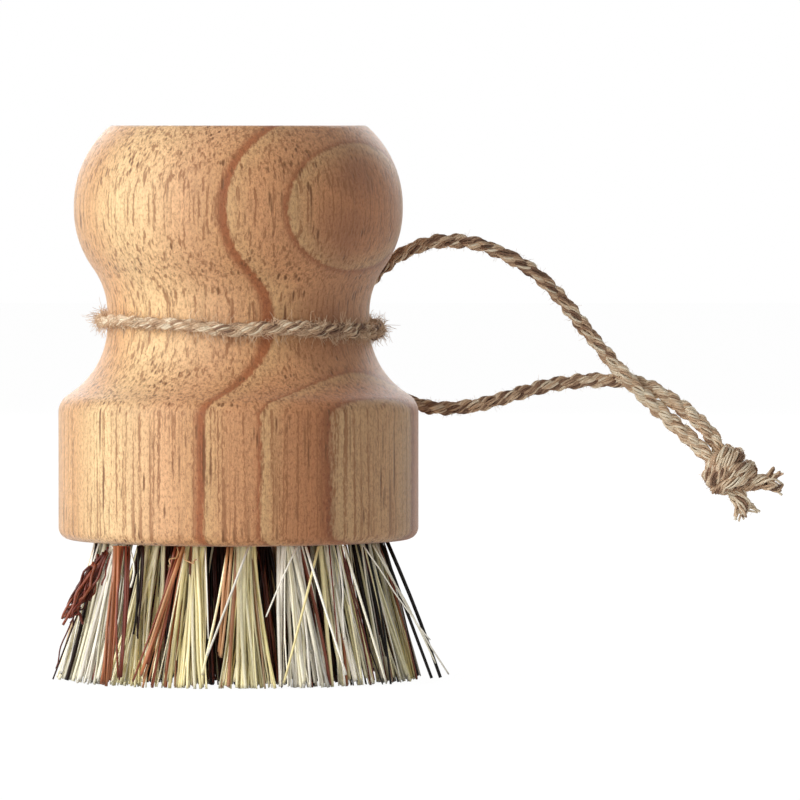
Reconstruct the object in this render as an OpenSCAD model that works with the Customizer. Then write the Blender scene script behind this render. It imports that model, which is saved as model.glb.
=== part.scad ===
// Palm brush: a turned wooden knob handle, 37 tufts of plant fibre that are each folded over a
// wire anchor in a drilled hole, and a hanging loop of jute twine tied round the neck.
// It stands on its bristle tips at z = 0, with the turning axis along Z.

/* [Base] */
// Radius of the straight wall of the base
base_r = 28.8; // [27:0.1:34]
// Rounding between the wall and the bristle face
foot_round_r = 1.9; // [0.5:0.1:3]
// Rounding of the shoulder, between the wall and the hollow of the neck
shoulder_r = 3.4; // [1.5:0.1:4]

/* [Neck and knob] */
// Height of the whole handle, from the bristle face to the flat top
handle_h = 66.1; // [62:0.1:72]
// Height of the straight part of the neck, between its two hollows
neck_land_h = 2; // [0.5:0.1:6]
// Smallest radius of the neck
neck_r = 20.95; // [18:0.05:22]
// Radius of the hollow that runs from the neck down to the shoulder
lower_hollow_r = 13; // [10:0.5:15]
// Radius of the hollow that runs from the neck up into the knob
upper_hollow_r = 12; // [8:0.5:14]
// Largest radius of the knob
knob_r = 26.3; // [25:0.1:29]
// Height of the flat top above the widest place of the knob
knob_top_h = 13.1; // [11:0.1:15]
// Height of the straight land at the widest place of the knob
knob_land_h = 0.6; // [0.4:0.1:3]
// Radius of the arc below the widest place of the knob
knob_lower_arc_r = 16; // [12:0.5:18]
// Radius of the flat top
top_flat_r = 20; // [18:0.1:23]
// Rounding of the edge of the flat top
top_round_r = 1.2; // [0.3:0.1:2]

/* [Bristle field] */
// Free length of the bristles, from the bristle face to the floor
bristle_l = 22.4; // [16:0.1:30]
// Distance from the outer ring of tufts to the wall of the base
rim_w = 7.2; // [6:0.1:8]
// How much further apart the rings of tufts are at the floor than on the bristle face
tip_splay = 1.9; // [1:0.1:2.2]
// Direction of the first tuft of the middle ring, turned from the right towards the back
middle_ring_turn = 15; // [0:1:29]
// Direction of the first tuft of the outer ring, turned from the right towards the back
outer_ring_turn = 13; // [0:1:19]
// Diameter of a tuft hole
hole_d = 4.8; // [4.2:0.1:5.2]
// Depth of a tuft hole, without its drill point
hole_depth = 11; // [9:0.5:13]
// Full angle of the drill point
drill_point_angle = 118; // [90:2:140]
// Room between a tuft and the wall of its hole
tuft_clearance = 0.1; // [0.05:0.05:0.2]

/* [Tufts] */
// Fibre bundles modelled in each tuft
bundles_per_tuft = 19; // [7:1:19]
// Diameter of one fibre bundle
bundle_d = 0.7; // [0.4:0.05:0.8]
// Radius to which the bundles of one tuft fan out at the floor
fan_r = 3.6; // [2.5:0.1:3.7]
// How far the bound root of a tuft stays back from the mouth of its hole
root_recess = 1.2; // [0.5:0.1:3]

/* [Wire anchors] */
// Diameter of the anchor wire
anchor_wire_d = 0.6; // [0.4:0.05:0.7]
// Distance between the two legs of an anchor, centre to centre
anchor_leg_pitch = 3.3; // [2.8:0.1:3.4]
// Thickness of folded fibre between an anchor and the end of its hole
fold_thickness = 2.2; // [1.8:0.1:2.6]
// How far the legs are driven into the wood past the end of the hole
anchor_bite = 3; // [2:0.5:5]
// Room between the anchor wire and the fibre round it
anchor_clearance = 0.05; // [0.02:0.01:0.08]

/* [Twine] */
// Diameter of the twine
twine_d = 2; // [1.5:0.1:2.4]
// Diameter of the turn round the neck, where the loose twine swells
turn_d = 2.1; // [2:0.1:2.6]
// Room between the neck and the turn of twine
turn_clearance = 0.2; // [0.1:0.05:0.4]
// Tilt of the turn round the neck
turn_tilt = 2.2; // [0:0.2:4]
// How far the turn lies below the middle of the neck
turn_drop = 0.7; // [0:0.1:1.2]
// Direction of the half-knot, turned from the right towards the back
tie_azimuth = 37; // [30:1:45]
// Outer radius of the half-knot
half_knot_r = 2.4; // [2.2:0.1:3]
// Length of the half-knot along the turn
half_knot_l = 4.4; // [4:0.1:4.8]
// Outer radius of the knot at the end of the loop
end_knot_r = 4.1; // [3.5:0.1:5]
// Length of the knot at the end of the loop
end_knot_l = 8.6; // [7:0.1:10]
// Radius of a frayed twine end
frayed_end_r = 1.7; // [1.2:0.1:2.2]
// Length of the frayed tail that runs on to the right
long_tail_l = 6; // [4:0.5:12]
// Length of the frayed tail that hangs down
short_tail_l = 3.5; // [3:0.5:10]

/* [Hidden] */
$fn = 64;

// Name of each ring of tufts and the number of tufts in it
rings = [["centre", 1], ["inner", 6], ["middle", 12], ["outer", 18]];

golden_angle = 137.508;

// Arc centres of the handle's outline as [radius, height above the bristle face], from the top
// down. Each arc is tangent to its neighbours, so the radii give the heights below the knob.
knob_h = handle_h - knob_top_h;
top_round_c = [top_flat_r, handle_h - top_round_r];
top_inset = knob_r - top_flat_r;
top_rise = top_round_c.y - knob_h - knob_land_h / 2;
knob_upper_arc_r =
    (pow(top_inset, 2) + pow(top_rise, 2) - pow(top_round_r, 2)) / (2 * (top_inset - top_round_r));
knob_upper_c = [knob_r - knob_upper_arc_r, knob_h + knob_land_h / 2];
knob_lower_c = [knob_r - knob_lower_arc_r, knob_h - knob_land_h / 2];
upper_hollow_c = [
    neck_r + upper_hollow_r,
    knob_lower_c.y - leg(upper_hollow_r + knob_lower_arc_r, neck_r + upper_hollow_r - knob_lower_c.x)
];
lower_hollow_c = [neck_r + lower_hollow_r, upper_hollow_c.y - neck_land_h];
shoulder_c = [
    base_r - shoulder_r,
    lower_hollow_c.y - leg(lower_hollow_r + shoulder_r, lower_hollow_c.x - base_r + shoulder_r)
];
shoulder_joint = between(shoulder_c, lower_hollow_c, shoulder_r);
knob_joint = between(knob_lower_c, upper_hollow_c, knob_lower_arc_r);
top_joint = between(knob_upper_c, top_round_c, knob_upper_arc_r);

ring_pitch = (base_r - rim_w) / (len(rings) - 1);
ring_turns = [0, 0, middle_ring_turn, outer_ring_turn];

// The wire anchor, measured into the wood from the mouth of a hole
crown_depth = hole_depth - fold_thickness;
leg_end_depth = hole_depth + anchor_bite;
tuft_r = hole_d / 2 - tuft_clearance;
fold_w = anchor_leg_pitch - anchor_wire_d - 2 * anchor_clearance;
drill_point_h = hole_d / 2 / tan(drill_point_angle / 2);

// The middle of the twine's turn, and the half-knot that closes it
turn_h = bristle_l + (lower_hollow_c.y + upper_hollow_c.y) / 2 - turn_drop;
turn_r = neck_r + turn_clearance + turn_d / 2;
tie_r = turn_r + half_knot_r - turn_d / 2;
tie_at = [
    tie_r * cos(tie_azimuth),
    tie_r * sin(tie_azimuth),
    turn_h - tie_r * cos(tie_azimuth) * sin(turn_tilt)
];
// Angle of the turn that the half-knot fills
knot_gap = 2 * asin((half_knot_l / 2 - 0.3) / turn_r);

// Routes of the two strands, from the half-knot to the end knot, measured from the half-knot
upper_route = [
    [-0.5, 0.5, 1.5], [0, 0.5, 4], [1.5, 0, 7], [4, -0.5, 9.5], [6.5, -1, 11.5],
    [9.5, -1.5, 13], [13, -2, 14], [16.5, -2.5, 14], [20, -3, 13.5], [23.5, -3, 12],
    [27, -3, 10.5], [30.5, -3, 8], [33.5, -3, 5.5], [36, -3, 2.5], [38.5, -3, -0.5],
    [41, -3, -3.5], [43.5, -3, -6.5], [46, -2.5, -9.5], [48.5, -2, -12.5],
    [51.5, -2, -15.5], [54, -2, -18], [56, -2.5, -20], [57.5, -3, -21.5]
];
lower_route = [
    [-0.5, 0.5, -1.5], [-0.5, 1.5, -4], [0.5, 2, -6.5], [3.5, 2.5, -9.5], [7, 1.5, -11.5],
    [11, 0.5, -12.5], [15, 0, -12.5], [19, -0.5, -12], [23, -1, -11], [26.5, -1, -10],
    [30.5, -1, -9], [34.5, -1, -8.5], [38, -0.5, -8.5], [42, -0.5, -8.5], [46, -0.5, -9],
    [49, -1, -10.5], [52, -1.5, -12.5], [54.5, -1.5, -14.5], [56.5, -1.5, -16.5],
    [58, -1.5, -18.5], [59, -1.5, -20.5]
];
end_knot_at = [60, -2.5, -23.5];
// Directions of the end knot and of its two tails, each turned down from straight up
end_knot_tilt = 137;
long_tail_tilt = 102;
short_tail_tilt = 152;

strand_sides = 8;
fibre_colours = ["#e9deb4", "#dcd6c4", "#e4d49c", "#b5703c", "#e9deb4", "#4a2f22"];

// Other side of a right triangle
function leg(hypotenuse, side) = sqrt(hypotenuse * hypotenuse - side * side);
// Point at a distance from a towards b
function between(a, b, distance) = a + (b - a) * distance / norm(b - a);
function unit(v) = v / norm(v);
// Point i of the smooth curve that a stiff twine takes along a route
function eased(route, i) =
    i == 0 || i == len(route) - 1 ? route[i] : (route[i - 1] + 4 * route[i] + route[i + 1]) / 6;
// Direction of a route at its point i
function heading(route, i) =
    unit(eased(route, min(i + 1, len(route) - 1)) - eased(route, max(i - 1, 0)));
// Points of one ring of a tube, with the same reference direction along the whole route
function tube_ring(route, i, r) =
    let (along = heading(route, i), side = unit(cross(along, [0, 1, 0])), up = cross(side, along))
    [for (k = [0:strand_sides - 1])
        let (a = 360 * k / strand_sides) eased(route, i) + r * (cos(a) * side + sin(a) * up)];

// A tube of constant radius swept along a route
module tube(route, r) {
    n = strand_sides;
    last = len(route) - 1;
    points = [for (i = [0:last]) each tube_ring(route, i, r)];
    sides = [for (i = [0:last - 1]) for (k = [0:n - 1])
        [i * n + k, i * n + (k + 1) % n, (i + 1) * n + (k + 1) % n, (i + 1) * n + k]];
    start_cap = [for (k = [0:n - 1]) n - 1 - k];
    end_cap = [for (k = [0:n - 1]) last * n + k];
    polyhedron(points, concat(sides, [start_cap, end_cap]));
}

// Straight round rod from a to b
module rod(a, b, d) {
    v = b - a;
    translate(a)
        rotate([0, acos(v.z / norm(v)), atan2(v.y, v.x)])
            cylinder(d = d, h = norm(v));
}

// Outline of the handle from its axis outwards, built of tangent arcs
module handle_outline() {
    difference() {
        union() {
            polygon([
                [0, 0], [base_r - foot_round_r, 0], [base_r, foot_round_r], [base_r, shoulder_c.y],
                shoulder_joint, [neck_r, lower_hollow_c.y], [neck_r, upper_hollow_c.y],
                knob_joint, [knob_r, knob_lower_c.y], [knob_r, knob_upper_c.y], top_joint,
                [top_round_c.x, handle_h], [0, handle_h]
            ]);
            translate([base_r - foot_round_r, foot_round_r]) circle(r = foot_round_r);
            translate(shoulder_c) circle(r = shoulder_r);
            intersection() {
                translate(knob_lower_c) circle(r = knob_lower_arc_r);
                translate([0, knob_joint.y]) square([knob_r + 1, knob_h - knob_joint.y]);
            }
            intersection() {
                translate(knob_upper_c) circle(r = knob_upper_arc_r);
                polygon([[0, knob_h], [knob_r + 1, knob_h], [knob_r + 1, top_joint.y],
                         top_joint, [top_round_c.x, handle_h], [0, handle_h]]);
            }
            translate(top_round_c) circle(r = top_round_r);
        }
        intersection() {
            translate(lower_hollow_c) circle(r = lower_hollow_r);
            translate([0, shoulder_joint.y - 5])
                square([base_r + 5, lower_hollow_c.y - shoulder_joint.y + 5]);
        }
        intersection() {
            translate(upper_hollow_c) circle(r = upper_hollow_r);
            translate([0, upper_hollow_c.y])
                square([knob_r + 5, knob_joint.y - upper_hollow_c.y + 5]);
        }
    }
}

// Puts its children at the mouth of tuft i of a ring, with +Z up the leaning hole into the wood
// and the crown of the wire anchor along Y
module at_tuft(ring, i) {
    count = rings[ring][1];
    lean = atan(ring * tip_splay / bristle_l);
    rotate([0, 0, ring_turns[ring] + 360 * (i - 1) / count])
        translate([ring * ring_pitch, 0, bristle_l])
            rotate([0, -lean, 0])
                children();
}

module at_all_tufts() {
    for (ring = [0:3]) for (i = [1:rings[ring][1]]) at_tuft(ring, i) children();
}

// Blind hole with its drill point. The anchor's legs need no holes: they are driven into the wood.
module tuft_hole() {
    translate([0, 0, -1]) cylinder(d = hole_d, h = hole_depth + 1);
    translate([0, 0, hole_depth]) cylinder(d1 = hole_d, d2 = 0, h = drill_point_h);
}

module handle() {
    color("#cfa173")
        difference() {
            translate([0, 0, bristle_l]) rotate_extrude() handle_outline();
            at_all_tufts() tuft_hole();
        }
}

// Root of a tuft: the fibres bound by their hole, folded over the crown of the anchor
module tuft_root() {
    difference() {
        union() {
            translate([0, 0, root_recess]) cylinder(r = tuft_r, h = crown_depth - root_recess);
            intersection() {
                translate([0, 0, crown_depth - 1]) cylinder(r = tuft_r, h = hole_depth);
                translate([0, 0, crown_depth])
                    rotate([90, 0, 0])
                        cylinder(r = fold_thickness - tuft_clearance, h = fold_w, center = true);
            }
        }
        translate([0, 0, crown_depth])
            rotate([90, 0, 0])
                cylinder(r = anchor_wire_d / 2 + anchor_clearance, h = hole_d, center = true);
    }
}

// One tuft: its root and the fibre bundles that fan out from it and are trimmed at the floor
module tuft(ring, i) {
    n = bundles_per_tuft;
    start_z = root_recess + 0.6;
    past_floor = 2;
    tip_z = -bristle_l - past_floor;
    root_fan_r = tuft_r - bundle_d / 2 - 0.15;
    color(fibre_colours[(5 * ring + i) % len(fibre_colours)])
        difference() {
            at_tuft(ring, i) {
                tuft_root();
                for (k = [0:n - 1]) {
                    share = sqrt((k + 0.5) / n);
                    a = k * golden_angle;
                    out = [cos(a), sin(a), 0];
                    rod(root_fan_r * share * out + [0, 0, start_z],
                        fan_r * share * out + [0, 0, tip_z], bundle_d);
                }
            }
            translate([-2 * base_r, -2 * base_r, -20]) cube([4 * base_r, 4 * base_r, 20]);
        }
}

// Wire anchor: a crown across the tuft and two legs that are driven into the wood
module anchor() {
    r = anchor_wire_d / 2;
    translate([0, 0, crown_depth])
        rotate([90, 0, 0])
            cylinder(r = r, h = anchor_leg_pitch, center = true);
    for (side = [-1, 1])
        translate([0, side * anchor_leg_pitch / 2, crown_depth]) {
            sphere(r = r);
            cylinder(r = r, h = leg_end_depth - crown_depth);
        }
}

module anchors(ring) {
    color("#b9bcc0")
        for (i = [1:rings[ring][1]]) at_tuft(ring, i) anchor();
}

// A knot as a stack of twine turns round its own axis
module knot(r, l, turns) {
    pitch = l / turns;
    rotate_extrude() {
        translate([0, -l / 2 + pitch / 4]) square([r - pitch / 2, l - pitch / 2]);
        intersection() {
            for (i = [0:turns - 1])
                translate([r - pitch / 2, (i + 0.5) * pitch - l / 2]) circle(d = pitch);
            translate([0, -l / 2]) square([r, l]);
        }
    }
}

module twine_neck_turn() {
    color("#a98a62")
        translate([0, 0, turn_h])
            rotate([0, turn_tilt, 0])
                rotate([0, 0, tie_azimuth + knot_gap / 2])
                    rotate_extrude(angle = 360 - knot_gap)
                        translate([turn_r, 0]) circle(d = turn_d);
}

module twine_half_knot() {
    color("#9c7d56")
        translate(tie_at)
            rotate([0, 0, tie_azimuth])
                rotate([90, 0, 0])
                    knot(half_knot_r, half_knot_l, 2);
}

module twine_upper_strand() {
    color("#a98a62") translate(tie_at) tube(upper_route, twine_d / 2);
}

module twine_lower_strand() {
    color("#a98a62") translate(tie_at) tube(lower_route, twine_d / 2);
}

module twine_end_knot() {
    color("#9c7d56")
        translate(tie_at + end_knot_at)
            rotate([0, end_knot_tilt, 0])
                knot(end_knot_r, end_knot_l, 3);
}

// Frayed tail that leaves the end knot
module tail(tilt, l) {
    translate(tie_at + end_knot_at)
        rotate([0, tilt, 0])
            translate([0, 0, end_knot_r - 1])
                cylinder(r1 = twine_d / 2, r2 = frayed_end_r, h = l + 1);
}

module twine_long_tail() {
    color("#b5976c") tail(long_tail_tilt, long_tail_l);
}

module twine_short_tail() {
    color("#b5976c") tail(short_tail_tilt, short_tail_l);
}

handle();
tuft(0, 1);  // tuft_centre
for (ring = [1:3]) for (i = [1:rings[ring][1]])
    tuft(ring, i);
for (ring = [0:3])
    anchors(ring);
twine_neck_turn();
twine_half_knot();
twine_upper_strand();
twine_lower_strand();
twine_end_knot();
twine_long_tail();
twine_short_tail();
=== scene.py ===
"""Looks of the palm brush: turned wood, folded plant fibre, anchor wire and two-ply jute twine.

Lengths are in millimetres, unless a comment says otherwise, and colours are as seen on a screen.
"""

from __future__ import annotations

import logging
import math
from dataclasses import dataclass, field
from enum import Enum
from typing import Any

import bpy
import numpy as np
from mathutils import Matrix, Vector

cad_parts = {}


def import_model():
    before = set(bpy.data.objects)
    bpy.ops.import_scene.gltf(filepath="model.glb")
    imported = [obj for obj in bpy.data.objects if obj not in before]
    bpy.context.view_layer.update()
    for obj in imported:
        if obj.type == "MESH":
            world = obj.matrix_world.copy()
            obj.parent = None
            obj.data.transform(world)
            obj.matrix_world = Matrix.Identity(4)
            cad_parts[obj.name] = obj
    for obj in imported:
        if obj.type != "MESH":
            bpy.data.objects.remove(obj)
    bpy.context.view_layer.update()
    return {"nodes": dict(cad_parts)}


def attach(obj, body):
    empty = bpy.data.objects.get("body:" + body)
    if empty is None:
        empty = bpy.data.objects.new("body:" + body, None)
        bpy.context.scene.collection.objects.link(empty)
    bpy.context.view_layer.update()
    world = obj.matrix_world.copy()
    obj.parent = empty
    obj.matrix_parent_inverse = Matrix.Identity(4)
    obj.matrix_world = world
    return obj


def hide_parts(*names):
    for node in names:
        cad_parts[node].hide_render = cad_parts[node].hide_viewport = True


log = logging.getLogger("palm_brush")

MM = 0.001
SPLINE_RUNS = 24
Socket = bpy.types.NodeSocket
Points = np.ndarray
Triple = tuple[float, float, float]
Stops = list[tuple[float, Triple]]


def srgb(red: float, green: float, blue: float) -> Triple:
    """Turns a colour as seen on a screen, from 0 to 255, into the linear one that a shader takes."""
    shares = (c / 255 for c in (red, green, blue))
    return tuple(c / 12.92 if c <= 0.04045 else ((c + 0.055) / 1.055) ** 2.4 for c in shares)


def opaque(colour: Triple) -> tuple[float, float, float, float]:
    """Turns a colour as seen on a screen into a linear one with an alpha of 1."""
    return (*srgb(*colour), 1)


def show(name: str, data: bpy.types.ID) -> bpy.types.Object:
    """Puts a mesh, lamp or camera into the scene.

    Args:
        name: what the object is called.
        data: the mesh, lamp or camera.

    Returns:
        The object.
    """
    shown = bpy.data.objects.new(name, data)
    bpy.context.scene.collection.objects.link(shown)
    return shown


def aim(thing: bpy.types.Object, place: Vector, target: Vector) -> None:
    """Puts a lamp or camera in its place, turned towards a target.

    Args:
        thing: the lamp or camera.
        place: where it goes, in metres.
        target: what it faces, in metres.
    """
    thing.location = place
    thing.rotation_euler = (target - place).to_track_quat("-Z", "Y").to_euler()


class Sheet:
    """A node tree that is filled from code, one node at a time."""

    def __init__(self, tree: bpy.types.NodeTree) -> None:
        """Keeps the tree that the nodes go into."""
        self.tree = tree

    def feed(self, node: bpy.types.Node, feeds: dict[str | int, Any]) -> None:
        """Feeds a node's inputs.

        Args:
            node: the node.
            feeds: a socket to link or a value to set, for each input by its name or number.
        """
        for key, value in feeds.items():
            if isinstance(value, Socket):
                self.tree.links.new(value, node.inputs[key])
            else:
                node.inputs[key].default_value = value

    def put(
        self,
        kind: str,
        feeds: dict[str | int, Any] | None = None,
        out: str | int = 0,
        **settings: Any,
    ) -> Socket:
        """Adds a node.

        Args:
            kind: Blender's name for the type of node.
            feeds: a socket to link or a value to set, for each input by its name or number.
            out: the output that is wanted.
            **settings: the node's own properties.

        Returns:
            The output socket.
        """
        node = self.tree.nodes.new(kind)
        for name, value in settings.items():
            setattr(node, name, value)
        self.feed(node, feeds or {})
        return node.outputs[out]

    def math(self, operation: str, *feeds: Any, clamp: bool = False) -> Socket:
        """Does one sum on numbers."""
        return self.put(
            "ShaderNodeMath", dict(enumerate(feeds)), operation=operation, use_clamp=clamp
        )

    def vector(self, operation: str, *feeds: Any) -> Socket:
        """Does one sum on vectors.

        Args:
            operation: Blender's name for the sum.
            *feeds: what it takes; the factor of a scale comes second.

        Returns:
            A vector, or a number for a length or a dot product.
        """
        inputs = (0, 3) if operation == "SCALE" else range(len(feeds))
        out = 1 if operation in ("LENGTH", "DOT_PRODUCT") else 0
        fed = dict(zip(inputs, feeds, strict=True))
        return self.put("ShaderNodeVectorMath", fed, out=out, operation=operation)

    def join(self, x: Any = 0.0, y: Any = 0.0, z: Any = 0.0) -> Socket:
        """Makes a vector of three numbers."""
        return self.put("ShaderNodeCombineXYZ", {0: x, 1: y, 2: z})

    def height_of(self, vector: Socket) -> Socket:
        """Takes the third number of a vector."""
        return self.put("ShaderNodeSeparateXYZ", {0: vector}, out=2)

    def noise(
        self,
        place: Socket,
        scale: float | Triple,
        detail: float = 2.0,
        rough: float = 0.5,
        out: int = 0,
    ) -> Socket:
        """Adds a noise texture.

        Args:
            place: where the noise is read.
            scale: its scale, or one for each direction.
            detail: how many finer layers it has.
            rough: how strong these are.
            out: 0 for a number, 1 for a colour.

        Returns:
            The noise.
        """
        if isinstance(scale, tuple):
            place, scale = self.vector("MULTIPLY", place, scale), 1.0
        feeds = {"Vector": place, "Scale": scale, "Detail": detail, "Roughness": rough}
        return self.put("ShaderNodeTexNoise", feeds, out=out)

    def drift(self, place: Socket, scale: float | Triple, reach: float, detail: float) -> Socket:
        """Makes a random shift, of up to half the reach each way, that varies from place to place."""
        wave = self.noise(place, scale, detail=detail, out=1)
        return self.vector("SCALE", self.vector("SUBTRACT", wave, (0.5, 0.5, 0.5)), reach)

    def span(
        self, value: Socket, low: float, high: float, to_low: float, to_high: float
    ) -> Socket:
        """Carries a number from one range to another, and holds it there."""
        feeds = {0: value, 1: low, 2: high, 3: to_low, 4: to_high}
        return self.put("ShaderNodeMapRange", feeds, clamp=True)

    def ramp(self, value: Socket, stops: Stops) -> Socket:
        """Colours a number.

        Args:
            value: the number, from 0 to 1.
            stops: places on that span, each with its linear colour.

        Returns:
            The colour.
        """
        out = self.put("ShaderNodeValToRGB", {0: value})
        ramp = out.node.color_ramp
        while len(ramp.elements) < len(stops):
            ramp.elements.new(0.5)
        for element, (place, colour) in zip(ramp.elements, stops, strict=True):
            element.position = place
            element.color = (*colour, 1)
        return out

    def blend(self, share: Any, under: Any, over: Any, mode: str = "MIX") -> Socket:
        """Lays one colour over another."""
        feeds = {0: share, 6: under, 7: over}
        return self.put("ShaderNodeMix", feeds, out=2, data_type="RGBA", blend_type=mode)

    def shaded(self, colour: Socket, shade: Socket) -> Socket:
        """Multiplies a colour by a number."""
        return self.blend(1.0, colour, self.join(shade, shade, shade), "MULTIPLY")

    def pick(self, share: Any, low: Any, high: Any) -> Socket:
        """Mixes two numbers."""
        return self.put("ShaderNodeMix", {0: share, 2: low, 3: high}, data_type="FLOAT")

    def attribute(self, name: str) -> Socket:
        """Reads a number that the mesh carries."""
        return self.put("ShaderNodeAttribute", out=2, attribute_name=name)

    def coordinates(self) -> Socket:
        """Gives the place on the piece, in metres."""
        return self.put("ShaderNodeTexCoord", out="Object")

    def streaks(
        self, group: bpy.types.NodeTree, place: Socket, contrast: float
    ) -> tuple[Socket, Socket]:
        """Adds the group of fine streaks.

        Args:
            group: the group.
            place: where it is read, stretched so that the streaks lie along the fibre.
            contrast: how strongly the streaks differ.

        Returns:
            The shade, about 1, and the height, about 0.5.
        """
        node = self.put("ShaderNodeGroup", node_tree=group).node
        self.feed(node, {"Vector": place, "Contrast": contrast})
        return node.outputs["Shade"], node.outputs["Height"]

    def bump(self, height: Socket, depth: float) -> Socket:
        """Turns a height, in units of the given depth in metres, into a normal."""
        feeds = {"Strength": 1.0, "Distance": depth, "Height": height}
        return self.put("ShaderNodeBump", feeds)


def new_material(name: str) -> tuple[bpy.types.Material, Sheet, bpy.types.Node]:
    """Makes a material with one Principled shader.

    Args:
        name: the material's name.

    Returns:
        The material, its sheet of nodes and the shader node.
    """
    material = bpy.data.materials.new(name)
    material.use_nodes = True
    sheet = Sheet(material.node_tree)
    return material, sheet, material.node_tree.nodes["Principled BSDF"]


def dress(piece: bpy.types.Object, material: bpy.types.Material) -> None:
    """Gives the whole of a piece one material."""
    piece.data.materials.clear()
    piece.data.materials.append(material)


def streak_group() -> bpy.types.NodeTree:
    """Builds the shader group of fine streaks that wood, bristle and twine share.

    Returns:
        The group, with inputs Vector and Contrast, and outputs Shade and Height.
    """
    group = bpy.data.node_groups.new("fibre_streaks", "ShaderNodeTree")
    sockets = {"Vector": "INPUT", "Contrast": "INPUT", "Shade": "OUTPUT", "Height": "OUTPUT"}
    for name, way in sockets.items():
        kind = "NodeSocketVector" if name == "Vector" else "NodeSocketFloat"
        group.interface.new_socket(name, in_out=way, socket_type=kind)
    sheet = Sheet(group)
    given = group.nodes.new("NodeGroupInput").outputs
    broad = sheet.noise(given["Vector"], 1.0, detail=3, rough=0.6)
    fine = sheet.noise(given["Vector"], 3.7)
    height = sheet.math("MULTIPLY_ADD", fine, 0.5, sheet.math("MULTIPLY", broad, 0.5))
    centred = sheet.math("SUBTRACT", height, 0.5)
    shade = sheet.math("MULTIPLY_ADD", centred, given["Contrast"], 1.0)
    sheet.feed(group.nodes.new("NodeGroupOutput"), {"Shade": shade, "Height": height})
    return group


@dataclass(frozen=True)
class Ring:
    """A late-wood line of the timber, with the colours on both its sides."""

    at: float
    band: float
    before: Triple
    line: Triple
    after: Triple

    def stops(self) -> Stops:
        """Lists the colours from before the line, through its slow start, to after its sharp end."""
        return [
            (self.at - 1.6 * self.band, self.before),
            (self.at - 0.8 * self.band, self.line),
            (self.at - 0.08, self.line),
            (self.at + 0.06, self.after),
        ]


@dataclass(frozen=True)
class Pore:
    """A sort of open pore: the room that one has, and its radius as a share of that."""

    width: float
    length: float
    reach: float
    soft_edge: float = 0.55

    def mask(self, sheet: Sheet, place: Socket) -> Socket:
        """Masks the pores.

        Args:
            sheet: the material's nodes.
            place: the place in millimetres.

        Returns:
            A mask that is 1 in a pore.
        """
        room = (1 / self.width, 1 / self.width, 1 / self.length)
        feeds = {"Vector": sheet.vector("MULTIPLY", place, room), "Scale": 1.0, "Randomness": 1.0}
        away = sheet.put("ShaderNodeTexVoronoi", feeds)
        return sheet.span(away, self.reach * self.soft_edge, self.reach, 1.0, 0.0)


@dataclass(frozen=True)
class StainAndShade:
    """A darker cloud on the wood: heartwood stain, and on the front right partly painted shade."""

    centre: Triple
    radius: float

    def mask(self, sheet: Sheet, place: Socket, cloud: Socket) -> Socket:
        """Masks the cloud of stain and painted shade.

        Args:
            sheet: the material's nodes.
            place: the place in millimetres.
            cloud: the noise that frays its edge.

        Returns:
            A mask that is highest inside the cloud.
        """
        away = sheet.vector("LENGTH", sheet.vector("SUBTRACT", place, self.centre))
        away = sheet.math("MULTIPLY_ADD", cloud, self.radius, away)
        return sheet.span(away, 0.5 * self.radius, 1.9 * self.radius, 0.72, 0.0)


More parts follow.
